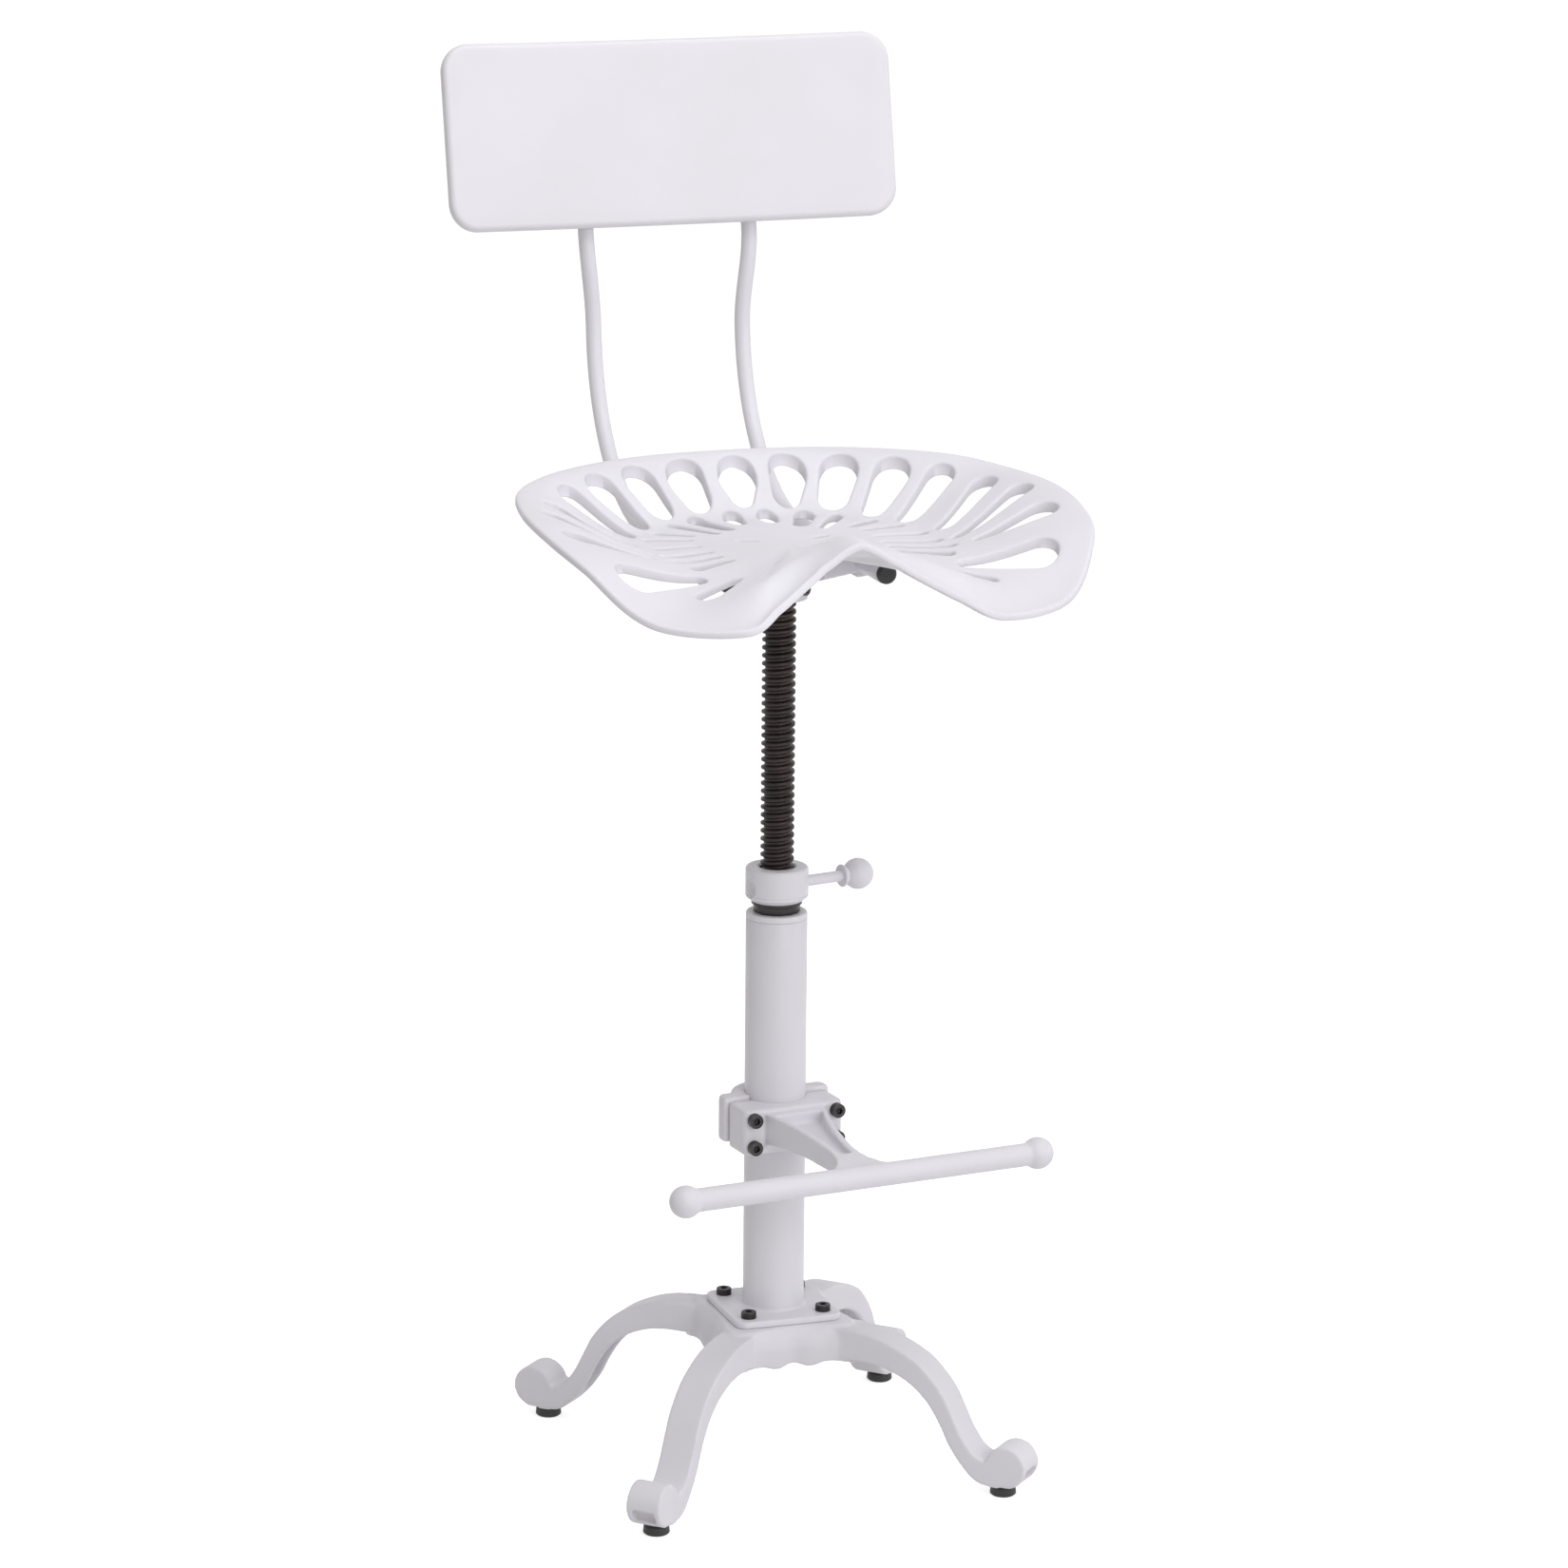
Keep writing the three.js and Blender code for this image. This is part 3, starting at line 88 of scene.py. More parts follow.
# Stage and light, in metres
floor_half_size = 30.0
floor_glow = 0.7
world_fill = 0.43
world_tint = (1.0, 0.975, 0.95)
# each lamp's name, place, aim, size, power and tint
lamps = [
    ("lamp_above", (0.2, -0.8, 3.3), (0, 0, 0.5), 2.4, 42, (0.97, 0.98, 1.0)),
    ("lamp_right", (3.0, -1.4, 1.2), (0, 0, 0.5), 1.8, 11, (0.97, 0.98, 1.0)),
    ("lamp_front", (0.7, -3.6, 1.5), (0, 0, 0.5), 1.8, 23, (0.975, 0.975, 1.0)),
    ("lamp_low", (0.5, -2.0, 1.0), (0, 0, 0), 0.9, 3.6, (0.975, 0.975, 1.0))]

# Colours
white = (0.79, 0.777, 0.83)
board_white = (0.805, 0.792, 0.84)
floor_white = (0.8, 0.8, 0.8)
floor_grey = (0.78, 0.78, 0.785)
cloud_shade = (0.955, 0.95, 0.945)
# the tint of the painted shade that darkens corners and crevices
crevice_shade_tint = (0.80, 0.775, 0.745)
oxide_black = (0.022, 0.02, 0.021)
oxide_rubbed = (0.16, 0.15, 0.15)
thread_dark = (0.014, 0.010, 0.0095)
thread_brown = (0.034, 0.022, 0.019)
thread_worn = (0.09, 0.07, 0.065)
bush_dark = (0.026, 0.024, 0.024)
bush_light = (0.07, 0.064, 0.062)
plastic_grey = (0.018, 0.018, 0.018)
nylon_cream = (0.55, 0.54, 0.5)

# Base casting
glide_radial = 285.7 / math.sqrt(2)
glide_radius = 10.4
glide_seat = 8.5
glide_pocket = 3.2
glide_height = 8.2
glide_stem_radius = 4
glide_stem_length = 9
hub_top = 121.5
hub_half = 52.5
hub_top_half = 45.5
hub_skirt = 31
hub_roof = 7.5
hub_wall = 6.5
hub_lobe = 1.5
hub_lobes = 12
hub_squareness = 8
hub_corner_reach = 9
hub_segments = 192
leg_width = 28.5
leg_round = 4.2
leg_wall = 5.5
leg_roof_share = 0.32
leg_steps = 6
scroll_radius = 16.9
scroll_place = (glide_radial + 7.1, 9.5 + 16.9)
scroll_turn = (160, -110)
notch_width = 19.6
notch_height = 11
notch_depth = 7
notch_angle = math.radians(-28)
base_voxel = 1.3
# shares of the glides' reach and of the hub's height
leg_top_shares = [
    (0.22, 0.984), (0.38, 0.977), (0.48, 0.954), (0.56, 0.912), (0.642, 0.846), (0.706, 0.763),
    (0.767, 0.644), (0.803, 0.533), (0.849, 0.384), (0.9, 0.275), (0.952, 0.241)]
leg_under_shares = [
    (0.22, 0.777), (0.37, 0.777), (0.45, 0.772), (0.53, 0.749), (0.62, 0.684), (0.695, 0.58),
    (0.75, 0.448), (0.795, 0.305), (0.852, 0.181), (0.915, 0.093), (1, 0.07)]

# Plate and column
plate_half = 43.5
plate_corner = 9
plate_edge = 1.2
plate_top = hub_top + 5.5
plate_screw_offset = 30.9
screw_hole = 4.3
tube_radius = 24.15
tube_inner = tube_radius - 3.5
tube_top = 443.5
weld_fillet = 2.2
weld_ripple = 0.18
weld_waves = (31, 18)
weld_second_share = 0.6

# Screw, ring, bush and collar
rod_radius = 13.2
rod_foot = tube_top - 55.5
rod_spigot_radius = 6
rod_spigot_length = 15
rod_segments = 72
rod_rows = 14
# how much thinner the rod's first and last rows are
rod_end_cuts = (2.4, 1.8, 1.2, 0.6)
spigot_gap = 0.01
thread_depth = 2.6
thread_pitch = 6.35
thread_crest_share = 0.5
thread_sharpness = 1.25
guide_clearance = 0.45
stop_washer_radius = 10
stop_washer_thickness = 2
bush_wall = 1.9
bush_foot_radius = 18.3
bush_head_radius = 20
bush_height = 8.9
bush_drop = 30
bush_bore = rod_radius + play
ring_top = tube_top + 5
ring_round = 1.6
ring_skirt = 28
ring_bore = rod_radius + bush_wall + 0.6
bush_top = ring_top + bush_height
collar_radius = 24.7
collar_chamfer = 4.6
collar_round = 2.6
collar_groove = 0.7
collar_groove_lift = 5.6
collar_bore = rod_radius + 0.6
collar_top = bush_top + 27.5
dimple_radius = 7
dimple_depth = 2.4
# radius and height over the dimple's floor, as shares of its radius and depth
dimple_shares = [(0, -1), (0.5, -0.75), (0.85, -0.2), (1, 0.2)]

# Lock handle
handle_azimuth = math.radians(12)
handle_lift = 11.7
handle_rod_radius = 4.4
handle_tip_radial = 13.4
handle_flange_radial = 58.5
handle_flange_radius = 9
handle_flange_thickness = 3
handle_neck_radius = 6.4
knob_radial = 74.2
knob_radius = 12.4
knob_socket = 9

# Seat casting
seat_centre_y = -29
seat_floor = 747
seat_thickness = 6
seat_rim_height = 43
seat_half_width = 214
seat_back_reach = 167
seat_front_reach = 190
# angle from the back, then shares of the half width, of the reach and of the rim's height
seat_rim_shares = [
    (0, 0, 0.955, 1.03), (20, 0.31, 0.955, 1), (40, 0.57, 0.82, 1), (58, 0.787, 0.63, 0.97),
    (75, 0.93, 0.415, 0.87), (90, 1.004, 0, 0.83), (106, 0.998, -0.355, 0.66),
    (122, 0.94, -0.611, 0.37), (138, 0.765, -0.86, -0.42), (150, 0.478, -1.01, -0.5),
    (158, 0.346, -0.945, -0.21), (164, 0.266, -0.897, 0), (168, 0.196, -0.86, 0.2),
    (173, 0.131, -0.834, 0.4), (180, 0, -0.816, 0.7)]
# angle, then where the wall starts and ends along the ray
seat_wall_shares = [
    (0, 0.6, 0.985), (60, 0.58, 0.98), (90, 0.47, 0.99), (120, 0.4, 1), (138, 0.35, 1),
    (150, 0.04, 0.74), (162, 0.04, 0.72), (168, 0.06, 0.84), (180, 0.02, 0.93)]
# angle, then the depth of the bead as a share of the thickness
seat_depth_shares = [(0, 1.55), (100, 1.5), (130, 1.35), (155, 1.15), (180, 1.3)]
seat_disc_share = 0.56
seat_bead_share = 0.92
# angle, then how far the edge curls down as a share of the rim's height
seat_lip_shares = [
    (0, 0), (122, 0), (138, 0.14), (150, 0.58), (158, 0.48), (164, 0.36), (168, 0.25), (173, 0.14),
    (180, 0.04)]
seat_lip_start = 0.76
seat_edge_reach = 0.7
seat_edge_spacing = 1.7
seat_grid = 2.6
# how far the grid starts beyond the seat's side, front and back
seat_grid_margins = (5, 40, 10)
seat_rim_steps = (0, 0.25, 0.8, 1.7, 2.9, 4.6)
seat_fan_steps = 1440
seat_edge_samples = 3600
slope_step = 0.3
# rounds that find the top's point over each point of the underside
underside_rounds = 8
rim_top_round = 2.4
rim_under_round = 1.6
slot_width = 30.2
slot_top_round = 2.4
slot_under_round = 1.4
slot_spacing = 1.6
slot_edge_steps = (0, 0.25, 0.75, 1.4, 2.4)
# the outer end's angle and share, the inner end's, and both ends' shares of the slot's width
seat_slot_shares = [
    (0, 0.927, 0, 0.7, 1.02, 0.66), (15.4, 0.92, 14.2, 0.687, 0.98, 0.74),
    (30.8, 0.919, 31.1, 0.673, 1, 0.84), (47.2, 0.911, 47.1, 0.638, 0.98, 0.62),
    (62.1, 0.903, 65.5, 0.593, 0.76, 0.6), (77.8, 0.893, 87.9, 0.572, 0.76, 0.52),
    (87.6, 0.922, 103.5, 0.557, 0.7, 0.3), (101.7, 0.92, 113, 0.609, 0.9, 0.3),
    (125.3, 0.892, 136, 0.59, 1, 0.42), (141.2, 0.781, 143.1, 0.536, 0.6, 0.24),
    (6.3, 0.68, 7.7, 0.503, 0.53, 0.32), (21.5, 0.663, 21.5, 0.394, 0.53, 0.4),
    (34.7, 0.638, 37.8, 0.362, 0.37, 0.23), (52.6, 0.59, 51.6, 0.414, 0.34, 0.24),
    (71.3, 0.548, 66.5, 0.373, 0.32, 0.22), (87.1, 0.53, 83.8, 0.334, 0.32, 0.22),
    (101.6, 0.525, 98.8, 0.317, 0.32, 0.22), (116.1, 0.548, 113.6, 0.319, 0.32, 0.22),
    (128.1, 0.551, 128.1, 0.331, 0.34, 0.24), (59.1, 0.217, 53.7, 0.137, 0.17, 0.17),
    (148.3, 0.455, 150.7, 0.38, 0.17, 0.17)]

# Bracket under the seat
rod_top = seat_floor - 12
bracket_top = seat_floor - seat_thickness - 0.15
bracket_voxel = 1.1
boss_radius = 22
boss_bottom = bracket_top - 43
boss_bore = rod_radius + play
boss_screw_azimuths = (math.radians(-57), math.radians(123))
boss_screw_lift = 10.6
sleeve_spacing = 126
sleeve_radius = 8.4
sleeve_wall = 1.75
sleeve_front = -66
sleeve_rear = 52
web_thickness = 7
web_half_depth = 27
web_corner = 4
rib_thickness = 6
rib_root_drop = 22
fin_thickness = 6
fin_drop = 15
bolt_spread = 52
bolt_depth = 40
bolt_pocket = 6

# Back tubes, plugs and backrest panel
back_tube_height = bracket_top - 14
back_tube_radius = 6.35
back_tube_lip = 0.8
tube_segments = 32
bend_radius = 148
bend_start = 133
bend_angle = math.radians(86)
run_rows = 12
bend_steps = 48
swing_rows = 25
rise_rows = 9
upper_half_spacing = 68.9
knee_drop = 77
knee_handle_share = 0.36
tube_reach_share = 0.36
plug_radius = 7.8
plug_thickness = 4.4
plug_stem_radius = 4.5
plug_stem_length = 9
panel_width = 376
panel_height = 149
panel_thickness = 13
panel_corner = 23
panel_side_inset = 0.5
panel_round = 5
panel_edge_steps = (0, 0.3, 0.9, 1.9, 3.3, 5.2)
panel_spacing = 4
panel_grid = 8
panel_grid_gap = 3
panel_bend_radius = 1350
panel_recline = math.radians(12.5)
panel_centre_depth = 289
panel_centre_height = back_tube_height + bend_radius + 146.15
panel_screw_pitch = 76
panel_bow_at_tube = math.sqrt(panel_bend_radius**2 - upper_half_spacing**2) - panel_bend_radius
tube_depth_at_panel = panel_bow_at_tube + panel_thickness / 2 + back_tube_radius + play
knee_height = panel_centre_height - knee_drop
knee_depth = (panel_centre_depth + tube_depth_at_panel / math.cos(panel_recline)
              - knee_drop * math.tan(panel_recline))

# Footrest and clamp
footrest_turn = math.radians(7.1)
footrest_voxel = 1.1
clamp_bottom = 262.5
clamp_height = 36.5
clamp_top = clamp_bottom + clamp_height
clamp_half_width = 43
clamp_front = 36
clamp_split = -4.5
clamp_corner = 7
clamp_edge = 2.5
clamp_screw_spread = 71.6
clamp_screw_pitch = 22.2
rear_front = clamp_split + 0.6
rear_flange = 15
rear_saddle_radius = 35
rear_half_width = 46
rear_corner = 6
rear_lift = 3
bar_height = clamp_bottom + 12.5
bar_reach = 156
bar_radius = 9.1
bar_half_length = 151
bar_ball_radius = 12.7
arm_start = -clamp_front + 2
arm_root_half = 27
arm_waist_half = 11
arm_flare_half = 32
arm_top_drop = 3
arm_under_rise = 9
arm_waist_share = 0.68
arm_end_share = 0.8
arm_neck_share = 0.9
arm_root_pull = (0.15, 0.45)
arm_flare_pull = 0.3
arm_steps = 14
arm_pocket_depth = 9
arm_pocket_wall = 7

# Screws: head radius, head height, shank radius, shank length and socket radius
plate_screw = (6, 5.4, 4, 12, 3)
stop_screw = (5, 3.5, 2.5, 11, 1.6)
seat_bolt = (5, 5, 3, 11, 2.4)
boss_screw = (5, 5, 3.5, 7, 2.4)
panel_screw = (4.6, 3.4, 2.2, 21, 1.6)
clamp_screw = (5.7, 6, 4, 46, 2.8)
screw_segments = 96
screw_edge_share = 0.16
knurl_depth = 0.018


def column_foot():
    """The point of the column's axis on the floor."""
    low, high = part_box("column_tube")
    return Vector(((low.x + high.x) / 2, (low.y + high.y) / 2, 0))


foot = column_foot()


# Shapes in numbers
def laid(points):
    """Points in millimetres in the column's frame, as metres in the model's frame."""
    return np.asarray(points, float) * mm + np.array(foot)


def turned(points, matrix):
    """Points moved by a matrix."""
    m = np.array(matrix, float)
    return np.asarray(points, float) @ m[:3, :3].T + m[:3, 3]


def about(angle, axis):
    """A turn about one of the frame's axes."""
    return Matrix.Rotation(angle, 4, axis)


def shifted(x, y, z):
    """A move without a turn."""
    return Matrix.Translation((x, y, z))


def pointing(azimuth, height):
    """Turns what stands along Z to point outwards at an azimuth and a height."""
    return shifted(0, 0, height) @ about(azimuth, "Z") @ about(quarter, "Y")


def eased(share):
    """A share from 0 to 1 with a soft start and end."""
    return share * share * (3 - 2 * share)


def hermite(t, start, end, slope_start, slope_end):
    """A cubic between two values that leaves and arrives with given slopes."""
    return ((2 * t**3 - 3 * t**2 + 1) * start + (t**3 - 2 * t**2 + t) * slope_start
            + (-2 * t**3 + 3 * t**2) * end + (t**3 - t**2) * slope_end)


def catmull(points, steps):
    """A smooth line through points, with the slopes of a uniform Catmull-Rom spline."""
    p = np.asarray(points, float)
    made = []
    for i in range(len(p) - 1):
        slope_here = (p[i + 1] - p[max(i - 1, 0)]) / 2
        slope_next = (p[min(i + 2, len(p) - 1)] - p[i]) / 2
        made.extend(hermite(k / steps, p[i], p[i + 1], slope_here, slope_next) for k in range(steps))
    return made + [p[-1]]


def quadratic(a, b, c):
    """Points on a quadratic curve from a to c, without a itself."""
    t = np.arange(1, arm_steps + 1)[:, None] / arm_steps
    return ((1 - t)**2 * np.array(a) + 2 * t * (1 - t) * np.array(b) + t**2 * np.array(c)).tolist()


def arc(centre, radius, first, last, steps):
    """Points on an arc; the angles are in degrees."""
    angles = [math.radians(first + (last - first) * k / steps) for k in range(steps + 1)]
    return [(centre[0] + radius * math.cos(a), centre[1] + radius * math.sin(a)) for a in angles]


def rounded(points, steps=5):
    """An open line of (x, y, fillet radius) points with its corners turned into arcs."""
    made = []
    for i, (x, y, radius) in enumerate(points):
        here = np.array((x, y), float)
        if radius <= 0 or i in (0, len(points) - 1):
            made.append((float(x), float(y)))
            continue
        before = np.array(points[i - 1][:2], float) - here
        after = np.array(points[i + 1][:2], float) - here
        before /= np.linalg.norm(before)
        after /= np.linalg.norm(after)
        half = math.acos(max(-1, min(1, float(before @ after)))) / 2
        reach = radius / math.tan(half)
        centre = here + (before + after) / np.linalg.norm(before + after) * radius / math.sin(half)
        start = here + before * reach - centre
        end = here + after * reach - centre
        first = math.degrees(math.atan2(start[1], start[0]))
        turn = math.degrees(math.atan2(end[1], end[0])) - first
        made.extend(arc(centre, radius, first, first + (turn + 180) % 360 - 180, steps))
    return made


def rectangle(low_x, low_y, high_x, high_y):
    """The outline of a rectangle."""
    return [(low_x, low_y), (high_x, low_y), (high_x, high_y), (low_x, high_y)]


def rounded_rectangle(half_width, half_depth, corner, steps=8):
    """The outline of a rectangle about zero with round corners."""
    x = half_width - corner
    y = half_depth - corner
    points = []
    for k, centre in enumerate(((x, y), (-x, y), (-x, -y), (x, -y))):
        points.extend(arc(centre, corner, 90 * k, 90 * k + 90, steps))
    return points


def corners(half_x, half_y):
    """The four corners of a rectangle about zero, where screws sit."""
    return [(x, y) for x in (-half_x, half_x) for y in (-half_y, half_y)]


def divided(loop, spacing):
    """A closed loop of plan points with its long sides cut into shorter ones."""
    closed = np.array([*loop, loop[0]])
    fine = []
    for a, b in zip(closed, closed[1:]):
        count = max(1, int(np.linalg.norm(b - a) / spacing))
        fine.extend(a + (b - a) * k / count for k in range(count))
    return np.array(fine)


def round_angles(count):
    """Evenly spaced angles over a full turn."""
    return np.arange(count) * 2 * math.pi / count


def circle(radius, height, angles):
    """A level ring of points; the radius is one number or one for each angle."""
    radii = np.broadcast_to(radius, len(angles))
    return [(r * math.cos(a), r * math.sin(a), height) for r, a in zip(radii, angles)]


def skin(rings):
    """Vertices and faces of a closed skin through rings of equal length, with flat ends."""
    count = len(rings[0])
    faces = []
    for row in range(len(rings) - 1):
        for column in range(count):
            a = row * count + column
            b = row * count + (column + 1) % count
            faces.append((a, b, b + count, a + count))
    last = (len(rings) - 1) * count
    faces.append(tuple(range(count))[::-1])
    faces.append(tuple(range(last, last + count)))
    return [p for ring in rings for p in ring], faces


def lathe(profile, segments=96):
    """Radii and heights turned round Z; a line that doesn't start on the axis closes on itself."""
    angles = round_angles(segments)
    vertices = []
    starts = []
    for radius, height in profile:
        starts.append(len(vertices))
        vertices.extend([(0, 0, height)] if radius < on_axis else circle(radius, height, angles))
    rows = list(range(len(profile)))
    next_rows = rows[1:] + rows[:1] if profile[0][0] > on_axis else rows[1:]
    faces = []
    for low, high in zip(rows, next_rows):
        for i in range(segments):
            j = (i + 1) % segments
            if profile[low][0] < on_axis:
                faces.append((starts[low], starts[high] + j, starts[high] + i))
            elif profile[high][0] < on_axis:
                faces.append((starts[low] + i, starts[low] + j, starts[high]))
            else:
                faces.append((starts[low] + i, starts[low] + j, starts[high] + j, starts[high] + i))
    return np.array(vertices, float), faces


# Objects: scratch objects are in millimetres, finished pieces in metres
def placed(name, data):
    """A new object in the scene."""
    thing = bpy.data.objects.new(name, data)
    bpy.context.scene.collection.objects.link(thing)
    return thing


def finished(name, body, node_name, finish, mesh, sharp):
    """Shades a mesh, gives it its finish and lets it ride on its body for its CAD node."""
    slot, material = finish
    mesh.name = name
    mesh.validate()
    mesh.shade_smooth()
    mesh.set_sharp_from_angle(angle=math.radians(sharp))
    mesh.materials.clear()
    mesh.materials.append(material)
    thing = placed(name, mesh)
    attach(thing, body)
    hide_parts(node_name)


def piece(name, body, node_name, finish, form, matrix=identity, sharp=42):
    """A finished piece from vertices and faces, moved by a matrix; sharp is in degrees."""
    vertices, faces = form
    mesh = bpy.data.meshes.new(name)
    mesh.from_pydata(laid(turned(vertices, matrix)).tolist(), [], faces)
    finished(name, body, node_name, finish, mesh, sharp)


def settled(name, body, node_name, finish, thing, sharp):
    """A finished piece from a scratch object, which is used up."""
    mesh = thing.data
    co = np.zeros(len(mesh.vertices) * 3, np.float32)
    mesh.vertices.foreach_get("co", co)
    mesh.vertices.foreach_set("co", laid(co.reshape(-1, 3)).astype(np.float32).ravel())
    bpy.data.objects.remove(thing)
    finished(name, body, node_name, finish, mesh, sharp)


def applied(thing):
    """Turns the modifiers of an object into its mesh."""
    graph = bpy.context.evaluated_depsgraph_get()
    mesh = bpy.data.meshes.new_from_object(thing.evaluated_get(graph))
    thing.modifiers.clear()
    thing.data = mesh
    return thing


def solid(form, matrix=identity):
    """A scratch object from vertices and faces, moved by a matrix, with its faces outwards."""
    vertices, faces = form
    mesh = bpy.data.meshes.new("solid")
    mesh.from_pydata(turned(vertices, matrix).tolist(), [], faces)
    shape = bmesh.new()
    shape.from_mesh(mesh)
    bmesh.ops.recalc_face_normals(shape, faces=shape.faces)
    shape.to_mesh(mesh)
    shape.free()
    return placed("solid", mesh)


def block(outline, low, high, matrix=identity, edge=0.0):
    """A scratch prism, moved by a matrix, with the edges of its two ends rounded."""
    thing = solid(skin([[(x, y, z) for x, y in outline] for z in (low, high)]), matrix)
    if edge > 0:
        bevel = thing.modifiers.new("edge", "BEVEL")
        bevel.width = edge
        bevel.segments = bevel_segments
        bevel.limit_method = "ANGLE"
        bevel.angle_limit = bevel_angle
        applied(thing)
    return thing


def drum(radius, low, high, matrix=identity, segments=64):
    """A scratch cylinder that stands along Z, moved by a matrix."""
    return solid(lathe([(0, low), (radius, low), (radius, high), (0, high)], segments), matrix)


def cut(target, tool, operation="DIFFERENCE"):
    """Cuts the tool out of the target, or keeps what is inside it; the tool is used up."""
    step = target.modifiers.new("step", "BOOLEAN")
    step.operation = operation
    step.solver = "EXACT"
    step.object = tool
    applied(target)
    bpy.data.objects.remove(tool)
    return target


def cast(parts, voxel, smoothing):
    """One cast skin around overlapping scratch objects: a fine grid, then softened edges."""
    form = bmesh.new()
    for part in parts:
        form.from_mesh(part.data)
        bpy.data.objects.remove(part)
    mesh = bpy.data.meshes.new("cast")
    form.to_mesh(mesh)
    form.free()
    whole = placed("cast", mesh)
    grid = whole.modifiers.new("grid", "REMESH")
    grid.mode = "VOXEL"
    grid.voxel_size = voxel
    smooth = whole.modifiers.new("soft", "SMOOTH")
    smooth.factor = smooth_factor
    smooth.iterations = smoothing
    return applied(whole)


stood_up = about(quarter, "X")
along_y = about(-quarter, "X")
upside_down = about(math.pi, "X")
across_y = about(quarter, "Z") @ stood_up
footrest_place = about(footrest_turn, "Z")
panel_place = shifted(0, panel_centre_depth, panel_centre_height) @ about(-panel_recline, "X")


# Finishes: scales are in waves a metre, and the depths of bumps in metres
def feed(tree, made, inputs):
    """Sets the inputs of a node, or links them to the sockets that feed them."""
    for key, value in inputs.items():
        if isinstance(value, bpy.types.NodeSocket):
            tree.links.new(value, made.inputs[key])
        else:
            made.inputs[key].default_value = value


def node(tree, kind, inputs, **settings):
    """A new node with its settings and its inputs."""
    made = tree.nodes.new(kind)
    for key, value in settings.items():
        setattr(made, key, value)
    feed(tree, made, inputs)
    return made


def shader(name, colour, roughness, metallic=0.0):
    """A new material with the tree of its nodes and its Principled shader."""
    material = bpy.data.materials.new(name)
    material.use_nodes = True
    tree = material.node_tree
    base = tree.nodes["Principled BSDF"]
    feed(tree, base, {"Base Color": (*colour, 1), "Roughness": roughness, "Metallic": metallic})
    return material, tree, base


def place_of(tree):
    """The object's own coordinates, in metres."""
    return node(tree, "ShaderNodeTexCoord", {}).outputs["Object"]


def noise(tree, scale, detail=3.0, roughness=0.5):
    """Fractal noise over the object's own coordinates."""
    return node(tree, "ShaderNodeTexNoise", {
        "Vector": place_of(tree), "Scale": scale, "Detail": detail,
        "Roughness": roughness}).outputs["Fac"]


def ranged(tree, value, low, high, start=0.3, end=0.7):
    """Maps a value, usually a noise, between two bounds."""
    return node(tree, "ShaderNodeMapRange", {
        "Value": value, "From Min": start, "From Max": end, "To Min": low,
        "To Max": high}).outputs["Result"]


def blended(tree, share, first, second):
    """Mixes two colours by a share."""
    a, b = (c if isinstance(c, bpy.types.NodeSocket) else (*c, 1) for c in (first, second))
    return node(tree, "ShaderNodeMix", {"Factor": share, 6: a, 7: b}, data_type="RGBA").outputs[2]


def bumped(tree, layers):
    """The normal of stacked bumps: each layer holds a height, its depth and its strength."""
    normal = {}
    for height, depth, strength in layers:
        inputs = {"Height": height, "Distance": depth, "Strength": strength, **normal}
        normal = {"Normal": node(tree, "ShaderNodeBump", inputs).outputs["Normal"]}
    return normal["Normal"]


def worn_edges(tree, most):
    """The share of wear along edges, up to a bound."""
    edge = node(tree, "ShaderNodeNewGeometry", {}).outputs["Pointiness"]
    return ranged(tree, edge, 0.0, most, 0.52, 0.6)


def powder_coat(name, colour, grain_depth, cast_depth, roughness):
    """White powder coat: orange peel, a cast or drawn ground under it, and painted shade darkening its
    corners and crevices.
    """
    material, tree, base = shader(name, colour, roughness[0])
    shade, crevice_shaded = (tuple(c * f for c, f in zip(colour, dim)) for dim in (cloud_shade, crevice_shade_tint))
    clean = blended(tree, ranged(tree, noise(tree, scale=9.0), 0.0, 1.0), colour, shade)
    # painted shade: ambient occlusion darkens the colour in corners and crevices, where shade falls
    corner = node(tree, "ShaderNodeAmbientOcclusion", {"Distance": 0.012}, samples=4)
    painted_shade_share = ranged(tree, corner.outputs["AO"], 0.55, 0.0, 0.15, 0.75)
    ground = noise(tree, scale=130.0, detail=4.0, roughness=0.6)
    peel = noise(tree, scale=620.0, detail=2.0)
    feed(tree, base, {
        "Base Color": blended(tree, painted_shade_share, clean, crevice_shaded),
        "Roughness": ranged(tree, noise(tree, scale=60.0), *roughness),
        "Normal": bumped(tree, [(ground, cast_depth, 0.5), (peel, grain_depth, 0.5)]),
        "Specular IOR Level": 0.42})
    return material


def black_oxide():
    """Screws: black oxide, rubbed a little brighter along the edges."""
    material, tree, base = shader("black_oxide", oxide_black, 0.4, 0.55)
    feed(tree, base, {
        "Base Color": blended(tree, worn_edges(tree, 0.6), oxide_black, oxide_rubbed),
        "Roughness": ranged(tree, noise(tree, scale=300.0), 0.34, 0.5),
        "Normal": bumped(tree, [(noise(tree, scale=1500.0, detail=2.0), 0.00003, 0.4)])})
    return material


def oiled_thread():
    """Rolled thread: dark oiled steel with brown flanks and worn crests."""
    material, tree, base = shader("oiled_thread", thread_dark, 0.42, 0.5)
    stain = ranged(tree, noise(tree, scale=45.0), 0.0, 1.0)
    ground = blended(tree, stain, thread_dark, thread_brown)
    feed(tree, base, {
        "Base Color": blended(tree, worn_edges(tree, 0.4), ground, thread_worn),
        "Roughness": ranged(tree, noise(tree, scale=220.0), 0.36, 0.54),
        "Normal": bumped(tree, [(noise(tree, scale=900.0, detail=3.0), 0.00005, 0.5)])})
    return material


